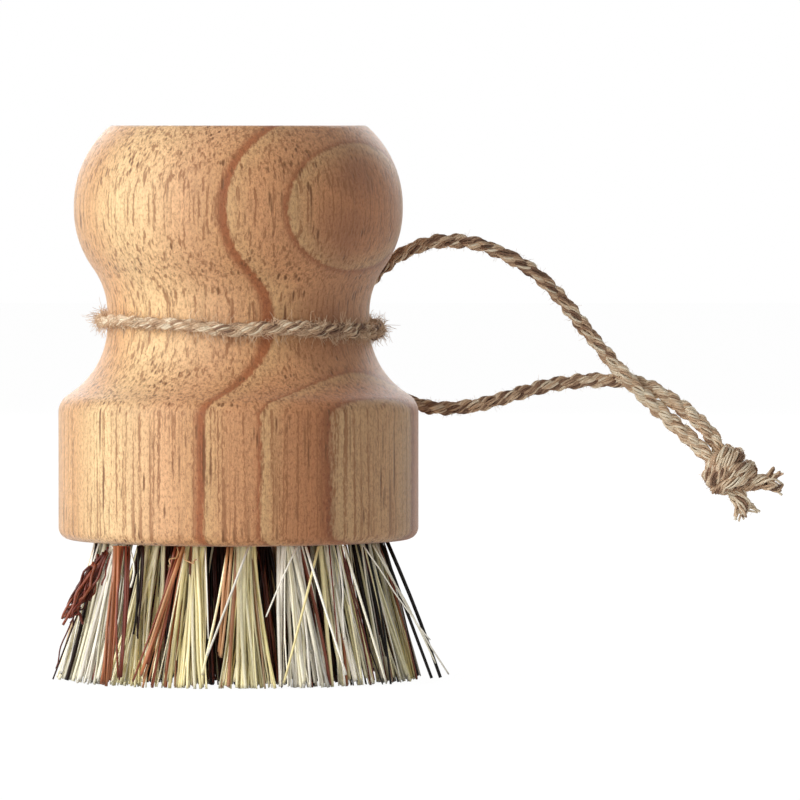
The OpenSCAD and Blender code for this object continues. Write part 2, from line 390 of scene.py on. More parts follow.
@dataclass(frozen=True)
class TurnedWood:
    """Pale, sanded, unvarnished hardwood, cut so that its growth rings stand upright."""

    pith_angle: float = 53.1
    pith_distance: float = 53.2
    tilt: tuple[float, float] = (-1.014, -0.961)
    tilt_height: float = 45.0
    tilt_span: float = 40.0
    reach: float = 34.0
    # The three clouds on the front right, on the shaded side of the knob and neck, are partly painted
    # shade; the one at the back left is a stain.
    stains_and_shade: tuple[StainAndShade, ...] = (
        StainAndShade((19.5, -17.5, 81.0), 5.0),
        StainAndShade((17.5, -19.5, 70.5), 5.5),
        StainAndShade((15.0, -15.5, 57.0), 7.5),
        StainAndShade((-21.0, 14.0, 76.0), 6.0),
    )
    rings: tuple[Ring, ...] = (
        Ring(-24.5, 0.5, (196, 140, 94), (150, 92, 54), (216, 176, 128)),
        Ring(-16.0, 0.4, (206, 150, 104), (164, 104, 64), (222, 182, 134)),
        Ring(17.91, 0.9, (212, 162, 114), (162, 97, 56), (214, 172, 122)),
        Ring(23.3, 0.35, (196, 142, 98), (158, 96, 58), (204, 164, 116)),
        Ring(27.6, 0.4, (182, 122, 80), (142, 84, 50), (202, 166, 122)),
        Ring(32.60, 0.4, (186, 130, 88), (150, 90, 54), (200, 160, 114)),
    )
    open_wood: tuple[tuple[float, Triple], ...] = (
        (-12.0, (222, 176, 126)),
        (-5.0, (226, 180, 128)),
        (1.5, (238, 204, 152)),
        (8.0, (236, 198, 148)),
        (13.0, (224, 176, 130)),
        (20.4, (208, 154, 108)),
        (25.0, (196, 140, 96)),
        (30.6, (196, 144, 100)),
    )
    # Linear, unlike the other colours: the grit multiplies the wood's colour by it.
    grit_tint: tuple[tuple[float, Triple], ...] = (
        (0.0, (0.42, 0.3, 0.25)),
        (0.5, (0.9, 0.88, 0.87)),
        (0.8, (1, 1, 1)),
    )
    # Waves to the millimetre: twice across the grain, then along it.
    slow_waves: Triple = (0.05, 0.05, 0.018)
    quick_waves: Triple = (2.4, 2.4, 0.9)
    streak_waves: Triple = (1.9, 1.9, 0.045)
    line_waves: Triple = (1.9, 1.9, 0.028)
    patch_waves: Triple = (0.11, 0.11, 0.04)
    cluster_waves: Triple = (0.22, 0.22, 0.09)
    stain_and_shade_waves: Triple = (0.2, 0.2, 0.12)
    grit_waves: Triple = (2.6, 2.6, 1.7)
    slow_shift: float = 0.8
    quick_shift: float = 0.7
    pore_shift: float = 0.35
    contrast: float = 0.75
    brightness: float = 1.12
    end_grain_share: float = 0.22
    pore_share: float = 0.9
    # The colour of the darker clouds, which are partly painted shade.
    stain_and_shade_colour: Triple = (134, 82, 54)
    end_grain_colour: Triple = (196, 132, 88)
    line_colour: Triple = (142, 90, 52)
    pore_colour: Triple = (112, 68, 32)
    short_pore: Pore = Pore(1.1, 7.5, 0.24)
    long_pore: Pore = Pore(1.05, 23.0, 0.265)
    bump_depth: float = 0.09 * MM

    def stops(self) -> Stops:
        """Lists the colours across the rings.

        Returns:
            The stops of the ramp, with linear colours.
        """
        stops = [stop for ring in self.rings for stop in ring.stops()] + list(self.open_wood)
        stops.sort(key=lambda stop: stop[0])
        places = [(u + self.reach) / (2 * self.reach) for u, _ in stops]
        return [(min(1.0, max(0.0, p)), srgb(*c)) for p, (_, c) in zip(places, stops, strict=True)]

    def across_rings(self, sheet: Sheet, place: Socket) -> Socket:
        """Measures how far a point lies across the growth rings, whose pith leans.

        Args:
            sheet: the material's nodes.
            place: the place in millimetres.

        Returns:
            The distance in millimetres; at the tilt's height it is 0 on the handle's axis.
        """
        angle = math.radians(self.pith_angle)
        pith = (-self.pith_distance * math.sin(angle), self.pith_distance * math.cos(angle))
        rise = sheet.math("SUBTRACT", sheet.height_of(place), self.tilt_height)
        rise = sheet.math("DIVIDE", rise, self.tilt_span)
        lean = [sheet.math("MULTIPLY_ADD", rise, self.tilt[i], pith[i]) for i in range(2)]
        from_pith = sheet.vector("SUBTRACT", place, sheet.join(*lean))
        flat = sheet.vector("MULTIPLY", from_pith, (1.0, 1.0, 0.0))
        return sheet.math("SUBTRACT", sheet.vector("LENGTH", flat), self.pith_distance)

    def stained_and_shaded(self, sheet: Sheet, place: Socket) -> Socket:
        """Masks the clouds of darker heartwood, and of painted shade on the front right of the neck and
        knob.

        Args:
            sheet: the material's nodes.
            place: the place in millimetres.

        Returns:
            A mask that is highest inside them.
        """
        cloud = sheet.noise(place, self.stain_and_shade_waves, detail=3)
        mask = 0.0
        for dark_patch in self.stains_and_shade:
            mask = sheet.math("MAXIMUM", dark_patch.mask(sheet, place, cloud), mask)
        return mask

    def pored(self, sheet: Sheet, place: Socket, upright: Socket) -> Socket:
        """Masks the open pores.

        Args:
            sheet: the material's nodes.
            place: the place in millimetres.
            upright: the same, stirred a little.

        Returns:
            A mask that is 1 in a pore, and lower where pores are rare.
        """
        pores = [pore.mask(sheet, upright) for pore in (self.short_pore, self.long_pore)]
        clusters = sheet.noise(place, self.cluster_waves)
        clusters = sheet.span(clusters, 0.4, 0.6, 0.1, 1.0)
        return sheet.math("MULTIPLY", sheet.math("MAXIMUM", *pores), clusters)

    def body(
        self, sheet: Sheet, place: Socket, warped: Socket, shade: Socket, speckle: Socket
    ) -> Socket:
        """Colours the wood between its pores.

        Args:
            sheet: the material's nodes.
            place: the place in millimetres.
            warped: the same, moved so that lines run unevenly.
            shade: the streaks' shade.
            speckle: the grit of the sanded surface, about 0.5.

        Returns:
            The colour.
        """
        across = sheet.span(self.across_rings(sheet, warped), -self.reach, self.reach, 0.0, 1.0)
        patches = sheet.noise(place, self.patch_waves, detail=3)
        patches = sheet.span(patches, 0.3, 0.7, 0.93, 1.06)
        rings = sheet.ramp(across, self.stops())
        colour = sheet.shaded(rings, sheet.math("MULTIPLY", shade, patches))
        colour = sheet.vector("SCALE", colour, self.brightness)
        colour = sheet.blend(1.0, colour, sheet.ramp(speckle, self.grit_tint), "MULTIPLY")
        # Darker clouds: stain, and on the front right painted shade.
        return sheet.blend(self.stained_and_shaded(sheet, warped), colour, opaque(self.stain_and_shade_colour))

    def make(self, streaks: bpy.types.NodeTree) -> bpy.types.Material:
        """Builds the material.

        Args:
            streaks: the group of fine streaks.

        Returns:
            The wood.
        """
        material, sheet, shader = new_material("turned_wood")
        place = sheet.vector("SCALE", sheet.coordinates(), 1 / MM)
        slow = sheet.drift(place, self.slow_waves, self.slow_shift, detail=2)
        quick = sheet.drift(place, self.quick_waves, self.quick_shift, detail=4)
        warped = sheet.vector("ADD", place, sheet.vector("ADD", slow, quick))
        upright = sheet.vector("ADD", place, sheet.vector("SCALE", quick, self.pore_shift))

        along_grain = sheet.vector("MULTIPLY", warped, self.streak_waves)
        shade, height = sheet.streaks(streaks, along_grain, self.contrast)
        facing = sheet.put("ShaderNodeNewGeometry", out="Normal")
        end_grain = sheet.math("ABSOLUTE", sheet.height_of(facing))
        grit = sheet.noise(place, self.grit_waves, detail=4, rough=0.75)
        strength = sheet.math("MULTIPLY_ADD", end_grain, 1.2, 2.1)
        speckle = sheet.math("SUBTRACT", grit, 0.5)
        speckle = sheet.math("MULTIPLY_ADD", speckle, strength, 0.5)

        colour = self.body(sheet, place, warped, shade, speckle)
        flush = sheet.math("MULTIPLY", end_grain, self.end_grain_share)
        colour = sheet.blend(flush, colour, opaque(self.end_grain_colour))
        lines = sheet.noise(warped, self.line_waves, detail=3)
        lines = sheet.span(sheet.math("MULTIPLY_ADD", grit, 0.22, lines), 0.65, 0.74, 0.0, 0.75)
        colour = sheet.blend(lines, colour, opaque(self.line_colour))
        pore = self.pored(sheet, place, upright)
        dark = sheet.math("MULTIPLY", pore, self.pore_share)
        colour = sheet.blend(dark, colour, opaque(self.pore_colour))

        height = sheet.math("SUBTRACT", height, sheet.math("MULTIPLY", pore, 0.5))
        height = sheet.math("MULTIPLY_ADD", speckle, 0.5, height)
        finish = {
            "Base Color": colour,
            "Normal": sheet.bump(height, self.bump_depth),
            "Roughness": 0.55,
            "Specular IOR Level": 0.4,
            "Sheen Weight": 0.4,
            "Sheen Roughness": 0.35,
        }
        sheet.feed(shader, finish)
        return material


@dataclass(frozen=True)
class PlantFibre:
    """Mixed bristle: each fibre's own hue runs from grey-white through cream and rust to black."""

    hues: tuple[tuple[float, Triple], ...] = (
        (0.00, (236, 230, 218)),
        (0.15, (252, 247, 232)),
        (0.30, (254, 246, 208)),
        (0.45, (250, 236, 172)),
        (0.60, (190, 168, 124)),
        (0.70, (192, 140, 94)),
        (0.80, (170, 98, 58)),
        (0.88, (112, 44, 30)),
        (0.95, (56, 28, 20)),
        (1.00, (20, 14, 12)),
    )
    # Waves to the metre: twice across the fibre, then along it.
    streak_waves: Triple = (5200.0, 5200.0, 260.0)
    contrast: float = 0.8
    # The shade of the darkest and the lightest fibre, the painted shade near the root where the fibres
    # crowd in their hole, and the darkening towards the tip.
    tones: tuple[float, float] = (0.32, 1.3)
    painted_root_shade: float = 0.88
    tip_shade: float = 0.55
    roughness: float = 0.36
    # The gloss of pale fibres, and of black ones.
    gloss: tuple[float, float] = (0.55, 0.15)
    bump_depth: float = 0.04 * MM

    def make(self, streaks: bpy.types.NodeTree) -> bpy.types.Material:
        """Builds the material.

        Args:
            streaks: the group of fine streaks.

        Returns:
            The fibre's material, which reads what each fibre's mesh carries.
        """
        material, sheet, shader = new_material("plant_fibre")
        hue = sheet.attribute("fibre_hue")
        along = sheet.attribute("fibre_along")
        colour = sheet.ramp(hue, [(place, srgb(*c)) for place, c in self.hues])
        stretched = sheet.vector("MULTIPLY", sheet.coordinates(), self.streak_waves)
        streak, height = sheet.streaks(streaks, stretched, self.contrast)
        tone = sheet.math("SQRT", sheet.attribute("fibre_tone"))
        shade = sheet.math("MULTIPLY", streak, sheet.span(tone, 0.0, 1.0, *self.tones))
        # Painted shade: darker near the root, where the fibres crowd together.
        root = sheet.span(along, 0.0, 0.3, self.painted_root_shade, 1.0)
        # Darker over the last part of the length, towards the tip.
        tip = sheet.span(along, 0.975, 1.0, 1.0, self.tip_shade)
        shade = sheet.math("MULTIPLY", shade, sheet.math("MULTIPLY", root, tip))
        finish = {
            "Base Color": sheet.shaded(colour, shade),
            "Normal": sheet.bump(height, self.bump_depth),
            "Roughness": self.roughness,
            "Specular IOR Level": sheet.span(hue, 0.8, 0.95, *self.gloss),
        }
        sheet.feed(shader, finish)
        return material


@dataclass(frozen=True)
class AnchorSteel:
    """Bright galvanised wire with dull spangles."""

    dull: Triple = (150, 152, 156)
    bright: Triple = (206, 208, 212)
    # Waves to the metre.
    spangle_waves: float = 2400.0
    rough_waves: float = 5200.0
    roughness: tuple[float, float] = (0.28, 0.46)
    bump_depth: float = 0.01 * MM

    def make(self) -> bpy.types.Material:
        """Builds the material.

        Returns:
            The wire's material.
        """
        material, sheet, shader = new_material("anchor_steel")
        metres = sheet.coordinates()
        spangle = sheet.noise(metres, self.spangle_waves, detail=3)
        rough = sheet.noise(metres, self.rough_waves)
        finish = {
            "Base Color": sheet.ramp(spangle, [(0.3, srgb(*self.dull)), (0.7, srgb(*self.bright))]),
            "Normal": sheet.bump(spangle, self.bump_depth),
            "Roughness": sheet.span(rough, 0.3, 0.7, *self.roughness),
            "Metallic": 1.0,
        }
        sheet.feed(shader, finish)
        return material


@dataclass(frozen=True)
class JuteTwine:
    """Natural jute, whose colour ramp runs from painted shade in the grooves to a painted highlight where
    the fibres catch the light.
    """

    # From painted groove shade, through the jute's own tan, to a painted highlight; streaks, mottle and
    # each strand's tone choose the place on the ramp.
    tones: tuple[tuple[float, Triple], ...] = (
        (0.10, (74, 50, 38)),
        (0.34, (158, 124, 100)),
        (0.56, (222, 190, 156)),
        (0.80, (250, 235, 208)),
    )
    # Waves round the strand, and to the millimetre along it.
    streak_waves: Triple = (9.0, 0.55, 1.0)
    contrast: float = 1.3
    # Waves to the metre.
    mottle_waves: float = 420.0
    # How much streaks, mottle and each strand's own tone count for the colour.
    streak_share: float = 0.9
    mottle_share: float = 0.4
    tone_share: float = 0.6
    bump_depth: float = 0.09 * MM

    def make(self, streaks: bpy.types.NodeTree) -> bpy.types.Material:
        """Builds the material.

        Args:
            streaks: the group of fine streaks.

        Returns:
            The twine's material, which reads what each yarn's mesh carries.
        """
        material, sheet, shader = new_material("jute_twine")
        fibres = sheet.put("ShaderNodeUVMap", uv_map="yarn")
        stretched = sheet.vector("MULTIPLY", fibres, self.streak_waves)
        shade, height = sheet.streaks(streaks, stretched, self.contrast)
        mottle = sheet.noise(sheet.coordinates(), self.mottle_waves, detail=3)
        mixed = sheet.math("MULTIPLY_ADD", height, self.streak_share, -0.5 * self.streak_share)
        mixed = sheet.math("MULTIPLY_ADD", mottle, self.mottle_share, mixed)
        tone = sheet.attribute("yarn_tone")
        mixed = sheet.math("MULTIPLY_ADD", tone, self.tone_share, mixed)
        colour = sheet.ramp(mixed, [(place, srgb(*c)) for place, c in self.tones])
        finish = {
            "Base Color": sheet.shaded(colour, shade),
            "Normal": sheet.bump(height, self.bump_depth),
            "Roughness": 0.7,
            "Specular IOR Level": 0.25,
        }
        sheet.feed(shader, finish)
        return material


def steps_of(line: Points) -> Points:
    """Measures the step from each point of a line to the next."""
    return np.linalg.norm(np.diff(line, axis=0), axis=1)


def length_of(line: Points) -> float:
    """Measures a line."""
    return float(steps_of(line).sum())


def gone_along(line: Points) -> Points:
    """Measures how far along a line each of its points lies."""
    return np.concatenate([[0], np.cumsum(steps_of(line))])


def unit(vectors: Points) -> Points:
    """Scales vectors to length 1."""
    return vectors / np.maximum(np.linalg.norm(vectors, axis=-1, keepdims=True), 1e-9)


def smooth_line(points: Points, step: float, closed: bool = False) -> Points:
    """Runs a smooth line through points, evenly spaced.

    Args:
        points: the points to pass through.
        step: the spacing along the line.
        closed: whether the line comes back to its start.

    Returns:
        The points of the line.
    """
    if closed:
        padded = np.vstack([points[-1:], points, points[:2]])
    else:
        padded = np.vstack([2 * points[:1] - points[1:2], points, 2 * points[-1:] - points[-2:-1]])
    share = np.linspace(0, 1, SPLINE_RUNS, endpoint=False)[:, None]
    runs = []
    for a, b, c, d in zip(padded, padded[1:], padded[2:], padded[3:]):
        bend = 2 * a - 5 * b + 4 * c - d
        twist = -a + 3 * b - 3 * c + d
        runs.append(b + 0.5 * share * ((c - a) + share * (bend + share * twist)))
    line = np.vstack([*runs, padded[-2:-1]])
    gone = gone_along(line)
    even = np.linspace(0, gone[-1], max(3, round(gone[-1] / step) + 1))
    return np.column_stack([np.interp(even, gone, line[:, axis]) for axis in range(3)])


def frames(line: Points, closed: bool = False) -> tuple[Points, Points]:
    """Carries two crosswise directions along a line without twist.

    Args:
        line: the points of the line.
        closed: whether the directions must come back to where they started.

    Returns:
        The first and second crosswise direction at each point.
    """
    along = unit(np.gradient(line, axis=0))
    if closed:
        along[0] = along[-1] = unit(line[1] - line[-2])
    start = np.cross(along[0], (0.0, 0.0, 1.0))
    if np.linalg.norm(start) < 0.1:
        start = np.cross(along[0], (0.0, 1.0, 0.0))
    carried = [unit(start)]
    for way in along[1:]:
        carried.append(unit(carried[-1] - way * np.dot(carried[-1], way)))
    first = np.array(carried)
    second = np.cross(along, first)
    if not closed:
        return first, second
    slip = math.atan2(np.dot(first[0], second[-1]), np.dot(first[0], first[-1]))
    turn = np.linspace(0, slip, len(line))[:, None]
    turned = first * np.cos(turn) + second * np.sin(turn)
    return turned, second * np.cos(turn) - first * np.sin(turn)


def wander(count: int, every: int, rng: np.random.Generator) -> Points:
    """Makes a slow random wave between about -1 and 1.

    Args:
        count: the number of places along it.
        every: the places between one swing and the next.
        rng: the source of chance.

    Returns:
        The wave.
    """
    knots = rng.uniform(-1, 1, count // every + 3)
    at = np.arange(count) / every
    low = at.astype(int)
    share = at - low
    share = share * share * (3 - 2 * share)
    return knots[low] * (1 - share) + knots[low + 1] * share


class Tubes:
    """Round fibres that are gathered into one mesh, each along its own line."""

    def __init__(self, sides: int) -> None:
        """Starts with no fibre.

        Args:
            sides: the number of sides of each fibre.
        """
        self.sides = sides
        self.corners: list[Points] = []
        self.faces: list[tuple[int, ...]] = []
        self.marks: list[tuple[float, float]] = []
        self.values: dict[str, list[Points]] = {}
        self.total = 0

    def add(
        self,
        line: Points,
        radius: Points,
        values: dict[str, Points],
        shift: float = 0.0,
        closed: bool = False,
    ) -> None:
        """Adds one fibre.

        Args:
            line: the points of its middle.
            radius: its radius at each of them.
            values: what the mesh carries under each name, at each point.
            shift: where its texture starts.
            closed: whether its end meets its start.
        """
        rows, sides = len(line), self.sides
        angles = 2 * np.pi * np.arange(sides) / sides
        across, up = frames(line, closed)
        ring = across[:, None] * np.cos(angles)[:, None] + up[:, None] * np.sin(angles)[:, None]
        self.corners.append((line[:, None] + ring * radius[:, None, None]).reshape(-1, 3))
        for name, value in values.items():
            self.values.setdefault(name, []).append(np.repeat(value, sides))
        gone = gone_along(line)
        for row in range(rows - 1):
            here = self.total + row * sides
            low, high = gone[row], gone[row + 1]
            for j in range(sides):
                k = (j + 1) % sides
                self.faces.append((here + j, here + k, here + sides + k, here + sides + j))
                left, right = shift + j / sides, shift + (j + 1) / sides
                self.marks += [(left, low), (right, low), (right, high), (left, high)]
        if not closed:
            last = self.total + (rows - 1) * sides
            self.faces.append(tuple(self.total + j for j in reversed(range(sides))))
            self.faces.append(tuple(last + j for j in range(sides)))
            self.marks += [(shift, 0.0)] * (2 * sides)
        self.total += rows * sides

    def mesh(self, name: str) -> bpy.types.Mesh:
        """Makes the mesh of all the fibres.

        Args:
            name: what the mesh is called.

        Returns:
            The mesh, with its texture marks and the values that it carries.
        """
        mesh = bpy.data.meshes.new(name)
        mesh.from_pydata((np.vstack(self.corners) * MM).tolist(), [], self.faces)
        marks = np.array(self.marks, np.float32)
        mesh.uv_layers.new(name="yarn").uv.foreach_set("vector", marks.ravel())
        for label, values in self.values.items():
            attribute = mesh.attributes.new(label, "FLOAT", "POINT")
            attribute.data.foreach_set("value", np.concatenate(values).astype(np.float32))
        mesh.shade_smooth()
        return mesh


class GrowthTree:
    """A tree of geometry nodes with named inputs, and the plain meshes that it grows."""

    def __init__(self, name: str, inputs: dict[str, str]) -> None:
        """Starts the tree.

        Args:
            name: what the tree is called.
            inputs: the kind of socket for each input's name.
        """
        self.tree = bpy.data.node_groups.new(name, "GeometryNodeTree")
        face = self.tree.interface
        face.new_socket("Geometry", in_out="OUTPUT", socket_type="NodeSocketGeometry")
        self.keys = {
            label: face.new_socket(label, in_out="INPUT", socket_type=kind).identifier
            for label, kind in inputs.items()
        }
        self.sheet = Sheet(self.tree)
        self.given = self.tree.nodes.new("NodeGroupInput").outputs

    def blank_line(self, points: int) -> Socket:
        """Makes a straight upright line of length 1."""
        line = self.sheet.put("GeometryNodeCurvePrimitiveLine", {1: (0.0, 0.0, 1.0)})
        return self.sheet.put("GeometryNodeResampleCurve", {0: line, 2: points})

    def store(self, geometry: Socket, name: str, value: Any, domain: str, kind: str) -> Socket:
        """Keeps a value on the geometry under a name."""
        feeds = {0: geometry, 2: name, 3: value}
        return self.sheet.put(
            "GeometryNodeStoreNamedAttribute", feeds, domain=domain, data_type=kind
        )

    def rounded(self, lines: Socket, sides: int, girth: Socket) -> Socket:
        """Makes lines round, with closed ends."""
        ring = self.sheet.put("GeometryNodeCurvePrimitiveCircle", {0: sides, 4: 1.0})
        return self.sheet.put("GeometryNodeCurveToMesh", {0: lines, 1: ring, 2: girth, 3: True})

    def end(self, mesh: Socket) -> None:
        """Ends the tree with a real mesh in its own material.

        Args:
            mesh: what the tree has grown.
        """
        mesh = self.sheet.put("GeometryNodeRealizeInstances", {0: mesh})
        mesh = self.sheet.put("GeometryNodeSetMaterial", {0: mesh, 2: self.given["Material"]})
        self.sheet.feed(self.tree.nodes.new("NodeGroupOutput"), {"Geometry": mesh})

    def mesh(self, name: str, start: bpy.types.Mesh, sizes: dict[str, Any]) -> bpy.types.Mesh:
        """Runs the tree on a mesh, and keeps the outcome as a plain one.

        Args:
            name: what the mesh is called.
            start: the mesh that the tree is given.
            sizes: a value for each of the tree's inputs.

        Returns:
            The mesh.
        """
        holder = show(name + "_grower", start)
        growth = holder.modifiers.new("growth", "NODES")
        growth.node_group = self.tree
        for label, value in sizes.items():
            growth[self.keys[label]] = value
        grown = holder.evaluated_get(bpy.context.evaluated_depsgraph_get())
        mesh = bpy.data.meshes.new_from_object(grown)
        mesh.name = name
        mesh.shade_smooth()
        bpy.data.objects.remove(holder)
        return mesh


class FibreTree(GrowthTree):
    """The geometry nodes that grow the fibres of one tuft."""

    INPUTS = {
        "Root": "NodeSocketVector",
        "Tip": "NodeSocketVector",
        "Root Radius": "NodeSocketFloat",
        "Out": "NodeSocketVector",
        "Fan Radius": "NodeSocketFloat",
        "Fan Width": "NodeSocketFloat",
        "Thickness": "NodeSocketFloat",
        "Bend": "NodeSocketFloat",
        "Trim": "NodeSocketFloat",
        "Hue": "NodeSocketFloat",
        "Spread": "NodeSocketFloat",
        "Accent Hue": "NodeSocketFloat",
        "Accent Share": "NodeSocketFloat",
        "Accent Side": "NodeSocketVector",
        "Fibres": "NodeSocketInt",
        "Seed": "NodeSocketInt",
        "Material": "NodeSocketMaterial",
    }
    POINTS_ALONG = 7
    SIDES = 5
    # How much chance, and the fibre's own place in the hole, count for where its tip lies.
    FAN_OUT = (0.6, 0.5)
    FAN_SIDE = (0.72, 0.38)
    # The share of the fibres that are broken off, and the share of its length that such a one keeps.
    BROKEN = 0.07
    BROKEN_REACH = (0.45, 0.9)
    RIPPLE = 0.9
    # How much chance counts for an accent that keeps to one side of its tuft.
    SIDE_CHANCE = 0.35
    # A fibre's girth as a share of the thickness: the least, what chance adds, and its taper.
    GIRTH_LEAST = 0.5
    GIRTH_SPAN = 1.15
    TAPER = -0.22

    def __init__(self) -> None:
        """Builds the tree."""
        super().__init__("bristle_fibres", self.INPUTS)
        number = {0: "fibre_number"}
        self.fibre = self.sheet.put("GeometryNodeInputNamedAttribute", number, data_type="INT")
        self.end(self.grow())

    def chance(self, number: int, low: float = 0.0, high: float = 1.0) -> Socket:
        """Draws a number for each fibre, the same all along it.

        Args:
            number: which of the fibre's chances it is.
            low: the least that it can be.
            high: the most that it can be.

        Returns:
            The number.
        """
        seed = self.sheet.math("ADD", self.given["Seed"], float(number))
        feeds = {2: low, 3: high, 7: self.fibre, 8: seed}
        return self.sheet.put("FunctionNodeRandomValue", feeds, out=1, data_type="FLOAT")

    def crosswise(self, out: Socket, aside: Socket) -> Socket:
        """Makes a level vector from its shares along the tuft's own outward direction and aside.

        Args:
            out: how far it leads outward.
            aside: how far it leads aside.

        Returns:
            The vector.
        """
        s, outward = self.sheet, self.given["Out"]
        sideways = s.vector("CROSS_PRODUCT", (0.0, 0.0, 1.0), outward)
        return s.vector("ADD", s.vector("SCALE", outward, out), s.vector("SCALE", sideways, aside))

    def fanned(self, number: int, weights: tuple[float, float], place: Socket, fan: Socket) -> Socket:
        """Draws how far a fibre's tip lies from the tuft's, in one direction.

        Args:
            number: which of the fibre's chances decides.
            weights: how much that chance and the fibre's place count.
            place: the fibre's place in the hole in that direction, as a share of the radius.
            fan: how far the tuft fans out in that direction.

        Returns:
            The distance.
        """
        by_place = self.sheet.math("MULTIPLY", place, weights[1])
        by_chance = self.chance(number, -1.0, 1.0)
        share = self.sheet.math("MULTIPLY_ADD", by_chance, weights[0], by_place)
        return self.sheet.math("MULTIPLY", share, fan)

    def ends(self) -> tuple[Socket, Socket, Socket]:
        """Spreads the fibres over the hole and over the tuft's fan.

        Returns:
            A fibre's place in the hole as a share of its radius, its root and its tip.
        """
        s, given = self.sheet, self.given
        turn = self.chance(1, 0.0, 2 * math.pi)
        reach = s.math("SQRT", self.chance(2))
        out = s.math("MULTIPLY", reach, s.math("COSINE", turn))
        aside = s.math("MULTIPLY", reach, s.math("SINE", turn))
        disc = self.crosswise(out, aside)
        root = s.vector("ADD", given["Root"], s.vector("SCALE", disc, given["Root Radius"]))
        fan_out = self.fanned(3, self.FAN_OUT, out, given["Fan Radius"])
        fan_side = self.fanned(4, self.FAN_SIDE, aside, given["Fan Width"])
        tip = s.vector("ADD", given["Tip"], self.crosswise(fan_out, fan_side))
        lift = s.math("MULTIPLY", s.math("POWER", self.chance(5), 3.0), given["Trim"])
        return disc, root, s.vector("ADD", tip, s.join(0.0, 0.0, lift))

    def bent(self, root: Socket, tip: Socket, along: Socket) -> Socket:
        """Bends the fibres between their ends.

        Args:
            root: where a fibre starts.
            tip: where it ends.
            along: the share of the way that a point has gone.

        Returns:
            The place of each point.
        """
        s = self.sheet
        straight = s.put("ShaderNodeMix", {0: along, 4: root, 5: tip}, out=1, data_type="VECTOR")
        bow = s.math("MULTIPLY", along, s.math("SUBTRACT", 1.0, along))
        bow = s.math("MULTIPLY", s.math("MULTIPLY", bow, 4.0), self.given["Bend"])
        sway = s.join(self.chance(8, -1.0, 1.0), self.chance(9, -1.0, 1.0))
        bent = s.vector("ADD", straight, s.vector("SCALE", sway, bow))
        sample = s.join(s.math("MULTIPLY", self.fibre, 3.71), s.math("MULTIPLY", along, 3.0), 0.0)
        ripple = s.vector("SUBTRACT", s.noise(sample, 1.0, out=1), (0.5, 0.5, 0.5))
        ripple = s.vector("MULTIPLY", ripple, (1.0, 1.0, 0.0))
        ripple = s.vector("SCALE", ripple, s.math("MULTIPLY", bow, self.RIPPLE))
        return s.vector("ADD", bent, ripple)

    def hued(self, disc: Socket) -> Socket:
        """Draws each fibre's hue from the tuft's two sorts.

        Args:
            disc: the fibre's place in the hole as a share of its radius.

        Returns:
            The hue.
        """
        s, given = self.sheet, self.given
        side = s.vector("DOT_PRODUCT", disc, given["Accent Side"])
        side = s.math("ADD", s.math("MULTIPLY", side, 0.5), 0.5)
        ranked = s.pick(self.SIDE_CHANCE, side, self.chance(10))
        sided = s.math("GREATER_THAN", s.vector("LENGTH", given["Accent Side"]), 0.5)
        ranked = s.pick(sided, self.chance(10), ranked)
        accent = s.math("GREATER_THAN", ranked, s.math("SUBTRACT", 1.0, given["Accent Share"]))
        hue = s.pick(accent, given["Hue"], given["Accent Hue"])
        spread = s.math("MULTIPLY", self.chance(11, -1.0, 1.0), given["Spread"])
        return s.math("ADD", hue, spread, clamp=True)

    def grow(self) -> Socket:
        """Lays out the nodes, from points through bent lines to round fibres.

        Returns:
            The fibres.
        """
        s, given = self.sheet, self.given
        points = s.put("GeometryNodePoints", {"Count": given["Fibres"]})
        line = self.blank_line(self.POINTS_ALONG)
        lines = s.put("GeometryNodeInstanceOnPoints", {"Points": points, "Instance": line})
        index = s.put("GeometryNodeInputIndex")
        lines = self.store(lines, "fibre_number", index, "INSTANCE", "INT")
        lines = s.put("GeometryNodeRealizeInstances", {0: lines})

        disc, root, tip = self.ends()
        broken = s.math("LESS_THAN", self.chance(6), self.BROKEN)
        reach = s.pick(broken, 1.0, self.chance(7, *self.BROKEN_REACH))
        along = s.math("MULTIPLY", s.put("GeometryNodeSplineParameter"), reach)
        place = self.bent(root, tip, along)
        lines = s.put("GeometryNodeSetPosition", {0: lines, 2: place})
        lines = self.store(lines, "fibre_hue", self.hued(disc), "POINT", "FLOAT")
        lines = self.store(lines, "fibre_tone", self.chance(12), "POINT", "FLOAT")
        lines = self.store(lines, "fibre_along", along, "POINT", "FLOAT")

        stout = s.math("POWER", self.chance(13), 2.0)
        girth = s.math("MULTIPLY_ADD", stout, self.GIRTH_SPAN, self.GIRTH_LEAST)
        girth = s.math("MULTIPLY", girth, given["Thickness"])
        girth = s.math("MULTIPLY", girth, s.math("MULTIPLY_ADD", along, self.TAPER, 1.0))
        return self.rounded(lines, self.SIDES, girth)


def new_piece(name: str, mesh: bpy.types.Mesh, body: str) -> bpy.types.Object:
    """Shows a mesh as a piece of the brush.

    Args:
        name: what the piece is called.
        mesh: its shape, in place.
        body: the moving body that carries it.

    Returns:
        The piece.
    """
    piece = show(name, mesh)
    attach(piece, body)
    return piece


@dataclass
class Handle:
    """The turned handle, which keeps the shape that it has in the frame."""

    wood: TurnedWood = field(default_factory=TurnedWood)

    def build(
        self, nodes: dict[str, bpy.types.Object], streaks: bpy.types.NodeTree
    ) -> list[bpy.types.Object]:
        """Dresses the handle.

        Args:
            nodes: the frame's objects by name.
            streaks: the group of fine streaks.

        Returns:
            The handle, as a list of one.
        """
        dress(nodes["handle"], self.wood.make(streaks))
        return [nodes["handle"]]


class Side(Enum):
    """The side of a tuft that its second sort of fibre keeps to."""

    ALL = (0.0, 0.0)
    LEFT = (-1.0, 0.0)
    RIGHT = (1.0, 0.0)


